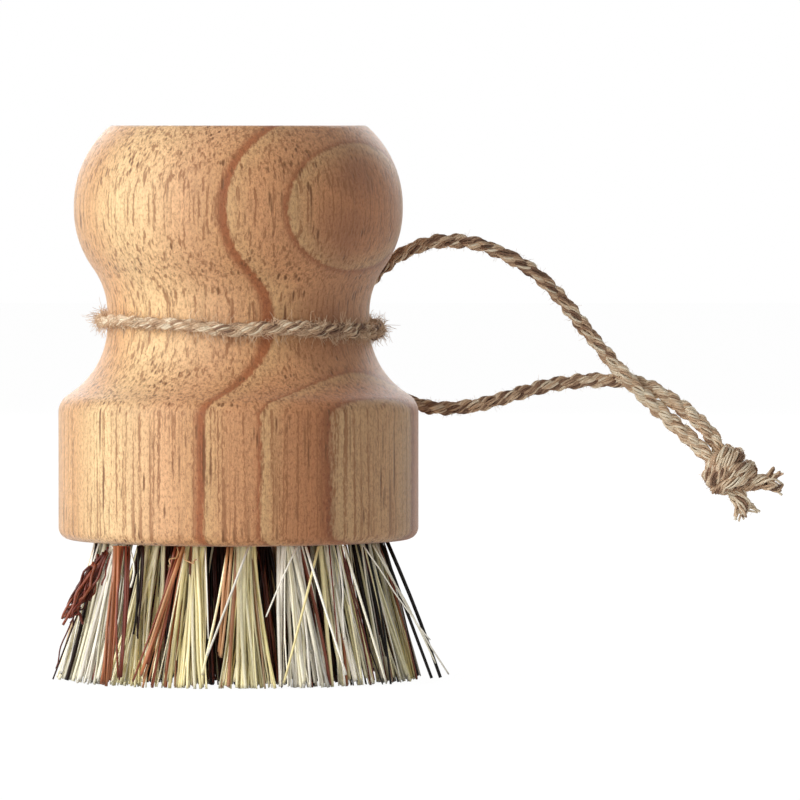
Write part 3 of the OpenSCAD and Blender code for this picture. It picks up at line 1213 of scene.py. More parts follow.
@dataclass(frozen=True)
class Mix:
    """The two sorts of fibre in one tuft."""

    hue: float
    spread: float
    accent_hue: float
    accent_share: float
    side: Side = Side.ALL


@dataclass(frozen=True)
class Tuft:
    """One tuft: where it leaves its hole and where it meets the floor."""

    node: str
    mouth: Vector
    tip: Vector
    mix: Mix
    fibres: int
    seed: int


@dataclass(frozen=True)
class Stray:
    """A fibre that stands out from its tuft."""

    start: Triple
    end: Triple
    radius: float
    hue: float
    curl: float = 0.0

    def line(self, rng: np.random.Generator) -> Points:
        """Draws the fibre's line, curled by chance.

        Args:
            rng: the source of chance.

        Returns:
            The points of the line, none of them below the ground.
        """
        share = np.linspace(0, 1, 14 if self.curl else 6)[:, None]
        line = np.array(self.start) * (1 - share) + np.array(self.end) * share
        bend = rng.normal(0, 0.35, 3) * np.sin(np.pi * share)
        curls = np.column_stack([wander(len(line), 3, rng) for _ in range(3)])
        line = line + bend + self.curl * curls * share
        line[:, 2] = np.maximum(line[:, 2], self.radius + 0.05)
        return line


@dataclass(frozen=True)
class Clump:
    """Fibres of one colour that lie together."""

    start: Triple
    end: Triple
    fibres: int
    scatter: float
    hues: tuple[float, float]
    radii: tuple[float, float]
    curl: float = 0.0
    whole: bool = True

    def strays(self, rng: np.random.Generator) -> list[Stray]:
        """Draws each of the fibres; those that aren't whole run along a part of the clump.

        Args:
            rng: the source of chance.

        Returns:
            The fibres.
        """
        start, end = np.array(self.start), np.array(self.end)
        drawn = []
        for _ in range(self.fibres):
            low, high = (0.0, 1.0) if self.whole else sorted(rng.uniform(0, 1, 2))
            high = min(1.0, high + 0.25)
            rooted = rng.normal(0, self.scatter, 3) * (1, 1, 1 - self.whole)
            first = start + (end - start) * low + rooted
            last = start + (end - start) * high + rng.normal(0, 1.4 * self.scatter, 3)
            radius, hue = rng.uniform(*self.radii), rng.uniform(*self.hues)
            drawn.append(Stray(tuple(first), tuple(last), radius, hue, self.curl))
        return drawn


@dataclass
class BristleField:
    """The 37 tufts, the loose fibres and the wire anchors."""

    bristle_l: float = 22.4
    ring_pitch: float = 7.2
    tip_splay: float = 1.9
    ring_counts: tuple[int, ...] = (1, 6, 12, 18)
    ring_names: tuple[str, ...] = ("centre", "inner", "middle", "outer")
    ring_turns: tuple[float, ...] = (0.0, 0.0, 15.0, 13.0)
    root_radius: float = 1.6
    fan_radius: float = 2.2
    fan_width: float = 4.8
    root_depth: float = 1.6
    fibres_outer: int = 56
    fibres_inner: int = 62
    thickness: float = 0.255
    bend: float = 0.55
    trim: float = 1.2
    tip_lift: float = 0.14

    SEEDS_APART = 40
    # The inner tufts are mostly near-black fibre: dark palm fibre, and painted shade that darkens the
    # gaps between the outer tufts.
    DARK_AND_SHADE = Mix(0.95, 0.06, 0.3, 0.2)
    DEEP_AND_SHADE = Mix(0.93, 0.08, 0.62, 0.25)
    BACK_MIXES = (
        Mix(0.32, 0.14, 0.8, 0.25),
        Mix(0.12, 0.12, 0.7, 0.2),
        Mix(0.4, 0.12, 0.93, 0.25),
        Mix(0.25, 0.2, 0.88, 0.2),
    )
    FRONT_MIXES = {
        10: Mix(0.16, 0.14, 0.95, 0.13, Side.LEFT),
        11: Mix(0.14, 0.12, 0.93, 0.22, Side.RIGHT),
        12: Mix(0.36, 0.1, 0.9, 0.14, Side.RIGHT),
        13: Mix(0.36, 0.09, 0.88, 0.18, Side.LEFT),
        14: Mix(0.38, 0.09, 0.72, 0.12),
        # Tufts 15 to 18, on the shaded right, carry more near-black fibre: dark palm fibre, and painted
        # shade for the dark gaps between fibres.
        15: Mix(0.16, 0.12, 0.94, 0.25),
        16: Mix(0.26, 0.16, 0.95, 0.38),
        17: Mix(0.3, 0.2, 0.93, 0.4),
        18: Mix(0.4, 0.2, 0.93, 0.42),
    }

    STRAYS = (
        Stray((23.8, -6.0, 22.2), (32.3, -7.5, 0.6), 0.32, 1.0),
        Stray((22.8, -7.0, 22.2), (30.9, -9.0, 0.6), 0.3, 1.0),
        Stray((22.0, -9.0, 22.0), (33.6, -9.0, 1.2), 0.16, 0.1),
        Stray((21.5, -12.0, 22.0), (31.5, -13.0, 3.4), 0.15, 0.2, 0.3),
        Stray((20.0, -14.0, 22.0), (31.0, -15.0, 7.0), 0.13, 0.12, 0.5),
        Stray((-25.0, -9.0, 12.0), (-29.4, -9.0, 0.4), 0.16, 0.97),
        Stray((-24.2, -10.0, 14.0), (-29.0, -10.0, 2.0), 0.14, 0.9, 0.3),
        Stray((-17.0, -20.5, 22.2), (-16.6, -23.5, 15.8), 0.2, 0.12),
        Stray((9.6, -23.5, 22.2), (4.8, -28.0, 11.4), 0.14, 0.1),
        Stray((11.0, -23.5, 22.2), (17.4, -29.5, 2.4), 0.22, 0.14),
        Stray((2.0, -24.5, 22.2), (-4.4, -30.2, 5.4), 0.2, 0.14),
        Stray((-1.2, -24.5, 22.2), (-5.2, -30.0, 2.4), 0.24, 0.34),
        Stray((-4.8, -24.5, 22.0), (-4.2, -29.5, 8.0), 0.12, 0.05),
        Stray((16.0, -20.5, 22.2), (17.0, -26.5, 8.0), 0.17, 0.06, 0.4),
        Stray((17.0, -20.0, 22.2), (23.6, -26.0, 1.2), 0.22, 0.2),
        Stray((13.0, -22.5, 22.2), (7.6, -29.0, 1.0), 0.22, 0.5),
        Stray((-9.5, -23.2, 22.2), (-13.6, -28.0, 4.0), 0.26, 0.86, 0.2),
        Stray((-8.2, -23.4, 22.2), (-6.0, -26.6, 20.0), 0.13, 0.68, 0.9),
        Stray((-9.2, -23.4, 22.2), (-11.4, -26.4, 19.6), 0.13, 0.66, 0.9),
        Stray((-20.0, -16.0, 22.2), (-17.5, -21.5, 16.0), 0.13, 0.16, 0.8),
    )
    CLUMPS = (
        Clump((-20.8, -12.5, 21.8), (-26.6, -12.5, 10.4), 28, 0.6, (0.85, 0.94), (0.14, 0.3), 0.7, False),
        Clump((-18.7, -20.6, 22.2), (-20.7, -25.4, 1.0), 7, 0.32, (0.76, 0.84), (0.22, 0.34)),
        Clump((-17.3, -21.2, 22.2), (-18.2, -25.4, 2.0), 4, 0.3, (0.86, 0.9), (0.2, 0.32)),
        Clump((-8.6, -23.6, 22.2), (-14.2, -28.2, 1.0), 8, 0.5, (0.7, 0.87), (0.16, 0.3)),
        Clump((-0.8, -24.6, 22.2), (-2.9, -29.0, 5.0), 3, 0.35, (0.68, 0.72), (0.16, 0.26)),
        Clump((-15.0, -21.5, 22.2), (-15.6, -25.2, 8.0), 4, 0.4, (0.97, 1.0), (0.14, 0.22)),
    )

    def strays(self, fibre: bpy.types.Material) -> bpy.types.Object:
        """Adds the fibres that cross or stand out, and the shaggy rust-brown clump at the left.

        Args:
            fibre: their material.

        Returns:
            The piece that holds them all.
        """
        rng = np.random.default_rng(5)
        clumped = [stray for clump in self.CLUMPS for stray in clump.strays(rng)]
        tubes = Tubes(FibreTree.SIDES)
        for stray in (*self.STRAYS, *clumped):
            line = stray.line(rng)
            share = np.linspace(0.3, 1, len(line))
            same = np.ones(len(line))
            values = {
                "fibre_hue": stray.hue * same,
                "fibre_tone": rng.uniform(0.4, 1) * same,
                "fibre_along": share,
            }
            tubes.add(line, stray.radius * (1.1 - 0.25 * share), values)
        mesh = tubes.mesh("stray_fibres")
        mesh.materials.append(fibre)
        return new_piece("stray_fibres", mesh, "brush")

    def mix_of(self, ring: int, number: int) -> Mix:
        """Chooses the sorts of fibre for a tuft.

        Args:
            ring: which ring it is in, from 0 for the centre.
            number: which of that ring's tufts it is, from 1.

        Returns:
            The sorts.
        """
        if ring == len(self.ring_counts) - 1:
            return self.FRONT_MIXES.get(number, self.BACK_MIXES[number % len(self.BACK_MIXES)])
        return self.DARK_AND_SHADE if (ring + number) % 3 else self.DEEP_AND_SHADE

    def tufts(self) -> list[Tuft]:
        """Lists the tufts, each at its own hole of the frame.

        Returns:
            The tufts, from the centre outward.
        """
        found = []
        for ring, count in enumerate(self.ring_counts):
            lean = math.atan(ring * self.tip_splay / self.bristle_l)
            for i in range(count):
                turn = math.radians(self.ring_turns[ring] + 360 * i / count)
                out = Vector((math.cos(turn), math.sin(turn), 0))
                mouth = out * (ring * self.ring_pitch - self.root_depth * math.sin(lean))
                mouth.z = self.bristle_l + self.root_depth * math.cos(lean)
                tip = out * ring * (self.ring_pitch + self.tip_splay)
                name = self.ring_names[ring]
                node = f"tuft_{name}" if ring == 0 else f"tuft_{name}_{i + 1}"
                fibres = self.fibres_outer if name == "outer" else self.fibres_inner
                seed = self.SEEDS_APART * (len(found) + 1)
                found.append(Tuft(node, mouth, tip, self.mix_of(ring, i + 1), fibres, seed))
        return found

    def sizes(self, tuft: Tuft, fibre: bpy.types.Material) -> dict[str, Any]:
        """Gives the values from which a tuft is grown.

        Args:
            tuft: the tuft.
            fibre: its material.

        Returns:
            A value for each input of the tree.
        """
        return {
            "Root": tuft.mouth * MM,
            "Tip": (tuft.tip + Vector((0, 0, self.tip_lift))) * MM,
            "Out": tuft.tip.normalized() if tuft.tip.length else Vector((1, 0, 0)),
            "Root Radius": self.root_radius * MM,
            "Fan Radius": self.fan_radius * MM,
            "Fan Width": self.fan_width * MM,
            "Thickness": self.thickness * MM,
            "Bend": self.bend * MM,
            "Trim": self.trim * MM,
            "Hue": tuft.mix.hue,
            "Spread": tuft.mix.spread,
            "Accent Hue": tuft.mix.accent_hue,
            "Accent Share": tuft.mix.accent_share,
            "Accent Side": (*tuft.mix.side.value, 0.0),
            "Fibres": tuft.fibres,
            "Seed": tuft.seed,
            "Material": fibre,
        }

    def build(
        self, nodes: dict[str, bpy.types.Object], streaks: bpy.types.NodeTree
    ) -> list[bpy.types.Object]:
        """Grows each tuft in place of its node, and dresses the anchors.

        Args:
            nodes: the frame's objects by name.
            streaks: the group of fine streaks.

        Returns:
            The pieces.
        """
        fibre = PlantFibre().make(streaks)
        steel = AnchorSteel().make()
        grower = FibreTree()
        pieces = []
        for tuft in self.tufts():
            name = tuft.node.replace("tuft", "fibres")
            blank = bpy.data.meshes.new(name + "_blank")
            grown = grower.mesh(name, blank, self.sizes(tuft, fibre))
            piece = new_piece(name, grown, "brush")
            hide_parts(tuft.node)
            pieces.append(piece)
        pieces.append(self.strays(fibre))
        for name in self.ring_names:
            anchors = nodes[f"anchors_{name}"]
            dress(anchors, steel)
            pieces.append(anchors)
        return pieces


@dataclass(frozen=True)
class Yarn:
    """A two-ply jute yarn that is laid along a line."""

    lay: float = 6.2
    counter_lay: float = 6.0
    ply_offset: float = 0.27
    strand_ring: float = 0.52
    strand_radius: float = 0.175
    strands: int = 11
    sides: int = 4
    step: float = 0.36
    fray: float = 0.0
    # How far chance changes the twist in radians, and the rest as a share.
    turn_drift: float = 0.5
    ring_drift: float = 0.22
    radius_drift: float = 0.2
    tone_drift: float = 0.25
    # How far from the meeting of a closed yarn's ends its strands are drawn back into place.
    meeting: float = 4.0
    # How far a frayed end's plies and its strands come apart.
    fray_plies: float = 0.7
    fray_strands: float = 0.35

    def strand(
        self,
        line: Points,
        cross: tuple[Points, Points],
        fat: Points,
        ply: int,
        number: int,
        closed: bool,
        rng: np.random.Generator,
    ) -> tuple[Points, Points]:
        """Lays one strand of fibre within its ply.

        Args:
            line: the yarn's own line.
            cross: the crosswise directions along it.
            fat: how much thicker than usual the yarn is along the line.
            ply: which of the two plies the strand is in.
            number: which of its strands it is; the last one is its core.
            closed: whether the twist must meet where the line does.
            rng: the source of chance.

        Returns:
            The strand's line, and its radius along that.
        """
        first, second = cross
        gone = np.linspace(0, length_of(line), len(line))
        lay, counter = self.lay, self.counter_lay
        if closed:
            lay = gone[-1] / round(gone[-1] / lay)
            counter = gone[-1] / round(gone[-1] / counter)
        turn = math.pi * ply + 2 * math.pi * gone / lay
        if not closed:
            turn = turn + self.turn_drift * wander(len(line), 40, rng)
        own = 2 * math.pi * number / (self.strands - 1) - 2 * math.pi * gone / counter
        usual = 0 if number == self.strands - 1 else self.strand_ring
        ring = usual * (1 + self.ring_drift * wander(len(line), 9, rng))
        if closed:
            free = np.clip(np.minimum(gone, gone[-1] - gone) / self.meeting, 0, 1)
            ring = ring * free + (1 - free) * usual
        loose = np.zeros(len(line))
        if self.fray:
            loose = np.clip((gone - gone[-1] + self.fray) / self.fray, 0, 1) ** 1.6
        apart = self.ply_offset + self.fray_plies * loose
        a, b = (
            fat * (apart * wave(turn) + ring * wave(own)) + loose * rng.normal(0, self.fray_strands)
            for wave in (np.cos, np.sin)
        )
        radius = fat * self.strand_radius * (1 + self.radius_drift * wander(len(line), 12, rng))
        where = line + first * a[:, None] + second * b[:, None]
        if self.fray:
            cut = int(rng.uniform(0, 0.4) * self.fray / self.step)
            where, radius = where[: len(where) - cut], radius[: len(radius) - cut]
            radius = radius * np.linspace(1, 0.8, len(radius))
        return where, radius

    def mesh(
        self, name: str, line: Points, fat: Points, painted_light: Points, seed: int, closed: bool = False
    ) -> bpy.types.Mesh:
        """Builds the yarn.

        Args:
            name: what the mesh is called.
            line: the evenly spaced line that it follows.
            fat: how much thicker than usual the yarn is along the line.
            painted_light: how much paler than usual it is along the line, as painted light and shade.
            seed: what its chances start from.
            closed: whether the line comes back to its start.

        Returns:
            The mesh.
        """
        rng = np.random.default_rng(seed)
        cross = frames(line, closed)
        tubes = Tubes(self.sides)
        for ply in range(2):
            for number in range(self.strands):
                where, radius = self.strand(line, cross, fat, ply, number, closed, rng)
                tone = rng.uniform(0.1, 1.0) + self.tone_drift * wander(len(where), 8, rng)
                tone = np.clip(tone + painted_light[: len(where)], 0, 1)
                shift = rng.uniform(0, 50)
                tubes.add(where, radius, {"yarn_tone": tone}, shift, closed)
        return tubes.mesh(name)


@dataclass(frozen=True)
class Fuzz:
    """The loose fibres of a yarn: how many as a share of the usual, the longest, and the radius."""

    share: float = 1.0
    length: float = 1.3
    radius: float = 0.026

    # To a square metre of the yarn's strands.
    DENSITY = 0.9e6

    def sizes(self, seed: int, jute: bpy.types.Material) -> dict[str, Any]:
        """Gives a value for each input of the tree that grows them."""
        return {
            "Density": self.DENSITY * self.share,
            "Length": self.length * MM,
            "Thickness": self.radius * MM,
            "Seed": seed,
            "Material": jute,
        }


class FuzzTree(GrowthTree):
    """The geometry nodes that grow loose fibres out of a yarn."""

    INPUTS = {
        "Yarn": "NodeSocketGeometry",
        "Density": "NodeSocketFloat",
        "Length": "NodeSocketFloat",
        "Thickness": "NodeSocketFloat",
        "Seed": "NodeSocketInt",
        "Material": "NodeSocketMaterial",
    }
    POINTS_ALONG = 5
    SIDES = 3
    TONE = 0.6
    # How much a hair follows the surface's own direction, against one of chance.
    OUTWARD = 0.8
    # A hair's length as a share of the longest: the least, and what chance adds.
    LENGTH_LEAST = 0.25
    LENGTH_SPAN = 0.75
    # Swirls to the metre, and the middle from which they lead, so that the hairs hang a little.
    SWIRLS = 520.0
    SWIRL_MIDDLE = (0.5, 0.5, 0.55)
    TAPER = -0.5

    def __init__(self) -> None:
        """Builds the tree."""
        super().__init__("yarn_fuzz", self.INPUTS)
        self.end(self.grow())

    def rooted(self) -> Socket:
        """Stands straight hairs on the yarn, each with its own direction and length.

        Returns:
            The hairs.
        """
        s, given = self.sheet, self.given
        feeds = {0: given["Yarn"], 4: given["Density"], 6: given["Seed"]}
        scatter = s.put("GeometryNodeDistributePointsOnFaces", feeds).node.outputs
        feeds = {0: (-1.0, -1.0, -1.0), 1: (1.0, 1.0, 1.0), 8: given["Seed"]}
        stray = s.put("FunctionNodeRandomValue", feeds, data_type="FLOAT_VECTOR")
        way = s.vector("ADD", s.vector("SCALE", scatter["Normal"], self.OUTWARD), stray)
        feeds = {2: 0.0, 3: 1.0, 8: given["Seed"]}
        chance = s.put("FunctionNodeRandomValue", feeds, out=1, data_type="FLOAT")
        long = s.math("POWER", chance, 3.0)
        long = s.math("MULTIPLY_ADD", long, self.LENGTH_SPAN, self.LENGTH_LEAST)
        feeds = {
            "Points": scatter["Points"],
            "Instance": self.blank_line(self.POINTS_ALONG),
            "Rotation": s.put("FunctionNodeAlignRotationToVector", {"Vector": way}, axis="Z"),
            "Scale": s.math("MULTIPLY", long, given["Length"]),
        }
        hairs = s.put("GeometryNodeInstanceOnPoints", feeds)
        return s.put("GeometryNodeRealizeInstances", {0: hairs})

    def grow(self) -> Socket:
        """Lays out the nodes, from points on the yarn to bent hairs.

        Returns:
            The hairs.
        """
        s, given = self.sheet, self.given
        along = s.put("GeometryNodeSplineParameter")
        place = s.vector("SCALE", s.put("GeometryNodeInputPosition"), self.SWIRLS)
        swirl = s.vector("SUBTRACT", s.noise(place, 1.0, out=1), self.SWIRL_MIDDLE)
        swirl = s.vector("SCALE", swirl, s.math("MULTIPLY", along, given["Length"]))
        hairs = s.put("GeometryNodeSetPosition", {0: self.rooted(), 3: swirl})
        taper = s.math("MULTIPLY_ADD", along, self.TAPER, 1.0)
        girth = s.math("MULTIPLY", taper, given["Thickness"])
        mesh = self.rounded(hairs, self.SIDES, girth)
        return self.store(mesh, "yarn_tone", self.TONE, "POINT", "FLOAT")


@dataclass
class TwineLoop:
    """The twine round the neck, the loop that it hangs by, and the knot at the loop's end."""

    twine_d: float = 2.0
    turn_r: float = 22.08
    turn_h: float = 56.67
    turn_tilt: float = 2.2
    turn_shift: float = 0.12
    tie_at: Triple = (18.81, 14.17, 55.95)
    tie_r: float = 1.42
    tie_reach: float = 1.7
    tie_winding: float = 2.3 * math.pi
    tie_phase: float = 0.4
    knot_at: Triple = (60.0, -2.5, -23.5)
    knot_tilt: float = 137.0
    knot_size: float = 0.98
    knot_pair: float = 0.8
    # How fat the strands are and what they gain towards the end knot; then their painted light: painted
    # shadow near the brush, paler towards the knot.
    strand_fat: tuple[float, float] = (1.24, 0.14)
    strand_painted_light: tuple[float, float] = (-0.12, 0.42)
    upper_route: tuple[Triple, ...] = (
        (-0.5, 0.5, 1.5), (0, 0.5, 4), (1.5, 0, 7), (4, -0.5, 9.5), (6.5, -1, 11.5), (9.5, -1.5, 13),
        (13, -2, 14), (16.5, -2.5, 14), (20, -3, 13.5), (23.5, -3, 12), (26.8, -3, 10.4), (30, -3, 7.8),
        (32.8, -3, 5.1), (35.1, -3, 2.1), (37.5, -3, -1), (39.9, -3, -4), (42.5, -3, -7),
        (45.3, -2.5, -9.9), (48.1, -2, -12.7), (51.3, -2, -15.6), (54, -2, -18), (56, -2.5, -20),
        (57.5, -3, -21.5),
    )
    lower_route: tuple[Triple, ...] = (
        (-0.5, 0.5, -1.5), (-0.5, 1.5, -4), (0.5, 2, -6.5), (3.5, 2.5, -9.5), (7, 1.5, -11.5),
        (11, 0.5, -13), (15, 0, -13.2), (19, -0.5, -12.8), (23, -1, -11.7), (26.5, -1, -10.6),
        (30.5, -1, -9.4), (34.5, -1, -8.8), (38, -0.5, -8.6), (42, -0.5, -8.5), (46, -0.5, -9),
        (49, -1, -10.5), (52, -1.5, -12.5), (54.5, -1.5, -14.5), (56.5, -1.5, -16.5),
        (58, -1.5, -18.5), (59, -1.5, -20.5),
    )
    knot_turns: tuple[Triple, ...] = (
        (-1, 0.2, 0.3), (1.4, 0.5, 0.2), (2.9, 1.7, 0.1), (2.2, 2.8, -0.7), (1.2, 1.3, -2.6),
        (0.3, -1, -2.8), (-0.5, -2.8, -0.8), (-1.1, -1.9, 2.2), (-1.5, 1, 2.8), (-1.8, 2.8, 0.6),
        (-2, 2.1, -1.9), (-2, -0.1, -2.8), (-1.5, -2.3, -1.5), (-0.6, -2.4, 0.9), (1.2, -1.3, 1.1),
    )
    long_tail: tuple[Triple, ...] = ((3, 0.9, -0.4), (4.7, 3, -0.6), (6.7, 5.7, -0.4))
    short_tail: tuple[Triple, ...] = ((3, -1.2, 0), (4.8, -1.7, -0.7), (7.3, -2.5, -1))
    yarn: Yarn = field(default_factory=Yarn)
    jute: bpy.types.Material = field(init=False)
    fuzz_tree: FuzzTree = field(init=False)

    def eased(self, route: tuple[Triple, ...]) -> Points:
        """Eases a route's corners and puts it in place.

        Args:
            route: its points, as seen from where the loop is tied on.

        Returns:
            The points in the brush's own place.
        """
        points = np.array(route, float)
        inner = (points[:-2] + 4 * points[1:-1] + points[2:]) / 6
        return np.vstack([points[:1], inner, points[-1:]]) + np.array(self.tie_at)

    def from_knot(self, points: Points) -> Points:
        """Carries points from the end knot's own directions to the brush's.

        Args:
            points: how far each lies along the loop, across it and to the back.

        Returns:
            The points in the brush's own place.
        """
        tilt = math.radians(self.knot_tilt)
        along = np.array((math.sin(tilt), 0, math.cos(tilt)))
        across = np.array((-math.cos(tilt), 0, math.sin(tilt)))
        centre = np.array(self.tie_at) + np.array(self.knot_at)
        a, b, y = points.T[:, :, None]
        return centre + a * along + b * across + y * np.array((0, 1, 0))

    def knot_line(self, start: Points, side: float, tail: tuple[Triple, ...]) -> Points:
        """Leads one of the two strands through the end knot.

        Args:
            start: the end of the strand.
            side: which side of the pair it keeps to, and how far.
            tail: the points of its loose end.

        Returns:
            The line of the strand in the knot.
        """
        turns = np.array(self.knot_turns) * self.knot_size
        ways = unit(np.gradient(turns, axis=0))
        aside = unit(np.cross(ways, unit(turns)))
        aside[1:-1] = unit((aside[:-2] + aside[1:-1] + aside[2:]) / 3)
        led = self.from_knot(turns + side * aside)
        return smooth_line(np.vstack([start, led, self.from_knot(np.array(tail))]), self.yarn.step)

    def neck_line(self) -> Points:
        """Runs round the neck, with the small waves of a hand-tied twine.

        Returns:
            The closed line.
        """
        turn = np.radians(np.arange(0, 360, 7.5))
        radius = self.turn_r + self.turn_shift * np.cos(turn) + 0.04 * np.sin(7 * turn)
        x, y = radius * np.cos(turn), radius * np.sin(turn)
        z = 0.22 * np.sin(5 * turn + 0.6) + 0.16 * np.sin(9 * turn)
        tilt = math.radians(self.turn_tilt)
        level = x * math.cos(tilt) + z * math.sin(tilt)
        height = self.turn_h + z * math.cos(tilt) - x * math.sin(tilt)
        return smooth_line(np.column_stack([level, y, height]), self.yarn.step, closed=True)

    def tie_line(self, phase: float) -> Points:
        """Winds one end of the twine about the turn, where the loop is tied on.

        Args:
            phase: the angle at which it starts, in radians.

        Returns:
            The line.
        """
        turn = np.linspace(0, self.tie_winding, 12) + phase
        along = np.linspace(-self.tie_reach, self.tie_reach, 12)
        azimuth = math.atan2(self.tie_at[1], self.tie_at[0])
        outward = np.array((math.cos(azimuth), math.sin(azimuth), 0))
        forward = np.array((-math.sin(azimuth), math.cos(azimuth), 0))
        up = np.array((0, 0, 1))
        line = np.array(self.tie_at) + along[:, None] * forward
        line = line + self.tie_r * (np.cos(turn)[:, None] * outward + np.sin(turn)[:, None] * up)
        return smooth_line(line, self.yarn.step)

    def add(
        self,
        name: str,
        line: Points,
        seed: int,
        fat: Points | float = 1.0,
        painted_light: Points | float = 0.0,
        yarn: Yarn | None = None,
        closed: bool = False,
        hair: Fuzz = Fuzz(),
    ) -> list[bpy.types.Object]:
        """Builds one length of yarn and its fuzz.

        Args:
            name: what the length is called.
            line: the line that it follows.
            seed: what its chances start from.
            fat: how much thicker than usual it is, along the line.
            painted_light: how much paler than usual it is along the line, as painted light and shade.
            yarn: the sort of yarn, where it isn't the usual one.
            closed: whether it comes back to its start.
            hair: its loose fibres.

        Returns:
            The yarn and the fuzz.
        """
        fat, painted_light = np.ones(len(line)) * fat, np.ones(len(line)) * painted_light
        mesh = (yarn or self.yarn).mesh(name, line, fat, painted_light, seed, closed)
        mesh.materials.append(self.jute)
        fuzz = self.fuzz_tree.mesh(name + "_fuzz", mesh, hair.sizes(seed, self.jute))
        log.info("%s: %.1f mm of twine", name, length_of(line))
        piece = new_piece(name, mesh, "twine")
        return [piece, new_piece(name + "_fuzz", fuzz, "twine")]

    def strand(self, name: str, line: Points, seed: int) -> list[bpy.types.Object]:
        """Builds one strand of the loop, which grows fatter towards the end knot, with painted shadow
        near the brush and painted light towards the knot.

        Args:
            name: what it is called.
            line: the line that it follows.
            seed: what its chances start from.

        Returns:
            The strand and its fuzz.
        """
        near_knot = np.clip((np.linspace(0, 1, len(line)) - 0.45) / 0.4, 0, 1)
        fat = self.strand_fat[0] + self.strand_fat[1] * near_knot
        painted_light = self.strand_painted_light[1] * near_knot + self.strand_painted_light[0]
        return self.add(name, line, seed, fat, painted_light)

    def build(self, streaks: bpy.types.NodeTree) -> list[bpy.types.Object]:
        """Lays all the twine.

        Args:
            streaks: the group of fine streaks.

        Returns:
            The pieces.
        """
        self.jute = JuteTwine().make(streaks)
        self.fuzz_tree = FuzzTree()
        upper = smooth_line(self.eased(self.upper_route), self.yarn.step)
        lower = smooth_line(self.eased(self.lower_route), self.yarn.step)
        turn = self.neck_line()
        rightward = turn[:, 0] / self.turn_r
        # Painted light on the turn's left, towards the key lamp, and painted shade on its right.
        fat, painted_light = 1.2 + 0.2 * rightward, 0.12 - 0.3 * rightward
        shaggy = Fuzz(1.9, 2.8, 0.042)
        neck = self.add("neck_turn", turn, 11, fat, painted_light, Yarn(lay=7.2), closed=True, hair=shaggy)
        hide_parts("twine_neck_turn")
        tie = self.add("half_knot", self.tie_line(self.tie_phase), 12, hair=Fuzz(2.0))
        tie_back = self.tie_line(self.tie_phase + math.pi)
        tie += self.add("half_knot_back", tie_back, 13, hair=Fuzz(2.0))
        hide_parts("twine_half_knot")

        frayed = Yarn(fray=4.0, lay=9.0)
        led = self.knot_line(upper[-1:], self.knot_pair, self.long_tail)
        # The knot is painted 0.1 paler, like the strands' ends near it.
        knot = self.add("end_knot", led, 14, np.linspace(1.2, 1.6, len(led)), 0.1, frayed)
        led = self.knot_line(lower[-1:], -self.knot_pair, self.short_tail)
        fat = np.linspace(1.2, 1.55, len(led))
        knot_back = self.add("end_knot_back", led, 15, fat, 0.1, frayed)
        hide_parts("twine_end_knot", "twine_long_tail")
        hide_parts("twine_short_tail")

        over = self.strand("upper_strand", upper, 16)
        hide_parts("twine_upper_strand")
        under = self.strand("lower_strand", lower, 17)
        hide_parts("twine_lower_strand")
        return [*neck, *tie, *knot, *knot_back, *over, *under]


@dataclass(frozen=True)
class Lamp:
    """A soft square lamp: its place and side in metres, and its power in watts."""

    name: str
    place: Triple
    size: float
    power: float
    target: Triple = (0.0, 0.0, 0.05)

    def hang(self) -> None:
        """Adds the lamp, turned towards the brush."""
        data = bpy.data.lights.new(self.name, "AREA")
        data.shape = "SQUARE"
        data.size = self.size
        data.energy = self.power
        aim(show(self.name, data), Vector(self.place), Vector(self.target))


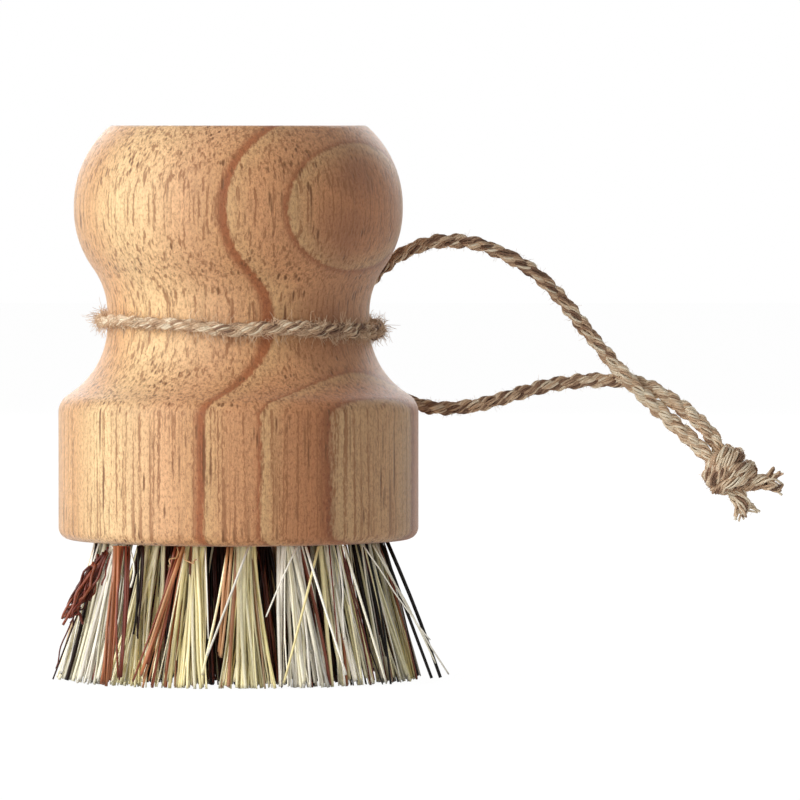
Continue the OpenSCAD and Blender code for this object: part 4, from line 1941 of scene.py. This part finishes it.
@dataclass
class Studio:
    """White floor and air, soft lamps and the camera that took the picture, in metres."""

    view_width: float = 0.128
    distance: float = 1.41
    centre_x: float = 0.02584
    centre_z: float = 0.0446
    camera_height: float = 0.0884
    # In millimetres, as Blender takes it.
    sensor: float = 36.0
    floor_reach: float = 3.0
    floor_grey: float = 0.9
    floor_glow: float = 1.05
    floor_share: float = 0.92
    air_light: float = 0.3
    air_seen: float = 1.0
    lamps: tuple[Lamp, ...] = (
        Lamp("key", (-1.0, -0.52, 0.5), 0.5, 10.2),
        Lamp("front", (-0.45, -1.1, 0.1), 0.3, 3.2),
        Lamp("rear_left", (-0.34, 1.1, 0.4), 0.4, 5.0),
        Lamp("rear_right", (0.34, 1.1, 0.4), 0.4, 5.0),
    )

    def camera(self) -> None:
        """Sets up the camera."""
        data = bpy.data.cameras.new("camera")
        camera = show("camera", data)
        target = Vector((self.centre_x, 0, self.centre_z))
        place = Vector((self.centre_x, -self.distance, self.camera_height))
        aim(camera, place, target)
        data.sensor_width = self.sensor
        data.lens = self.sensor * (target - place).length / self.view_width
        bpy.context.scene.camera = camera

    def seen(self, sheet: Sheet) -> Socket:
        """Tells the rays by which a thing is seen, also in gloss and glass, from those that light.

        Args:
            sheet: the nodes of the floor or the air.

        Returns:
            1 for a ray by which it is seen, 0 for one that lights.
        """
        path = sheet.put("ShaderNodeLightPath").node.outputs
        seen = sheet.math("MAXIMUM", path["Is Camera Ray"], path["Is Glossy Ray"])
        return sheet.math("MAXIMUM", seen, path["Is Transmission Ray"])

    def floor(self) -> None:
        """Lays the floor, which reflects light as a plain one but is seen as almost pure white."""
        mesh = bpy.data.meshes.new("floor")
        far = self.floor_reach
        corners = [(-far, -far, 0), (far, -far, 0), (far, far, 0), (-far, far, 0)]
        mesh.from_pydata(corners, [], [(0, 1, 2, 3)])
        floor = show("floor", mesh)
        material = bpy.data.materials.new("studio_floor")
        material.use_nodes = True
        sheet = Sheet(material.node_tree)
        material.node_tree.nodes.remove(material.node_tree.nodes["Principled BSDF"])
        plain = sheet.put("ShaderNodeBsdfDiffuse", {"Color": (*[self.floor_grey] * 3, 1)})
        glow = {"Color": (1, 1, 1, 1), "Strength": self.floor_glow}
        white = sheet.put("ShaderNodeEmission", glow)
        share = sheet.math("MULTIPLY", self.seen(sheet), self.floor_share)
        surface = sheet.put("ShaderNodeMixShader", {0: share, 1: plain, 2: white})
        sheet.feed(material.node_tree.nodes["Material Output"], {"Surface": surface})
        mesh.materials.append(material)

    def air(self) -> None:
        """Lights the air evenly, and shows it white."""
        world = bpy.data.worlds.new("studio_air")
        bpy.context.scene.world = world
        world.use_nodes = True
        sheet = Sheet(world.node_tree)
        strength = sheet.pick(self.seen(sheet), self.air_light, self.air_seen)
        sheet.feed(world.node_tree.nodes["Background"], {"Color": (1, 1, 1, 1), "Strength": strength})

    def build(self) -> None:
        """Sets up everything around the brush."""
        bpy.context.scene.view_settings.view_transform = "Standard"
        self.floor()
        self.air()
        for lamp in self.lamps:
            lamp.hang()


def main() -> None:
    """Builds the brush's looks around the frame."""
    logging.basicConfig(level=logging.INFO, format="%(name)s: %(message)s")
    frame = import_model()
    nodes = frame["nodes"]
    studio = Studio()
    studio.camera()
    streaks = streak_group()
    pieces = Handle().build(nodes, streaks)
    pieces += BristleField().build(nodes, streaks)
    pieces += TwineLoop().build(streaks)
    for piece in pieces:
        finish = piece.data.materials[0].name
        log.info("%s: %d faces of %s", piece.name, len(piece.data.polygons), finish)
    studio.build()


if __name__ == "__main__":
    main()
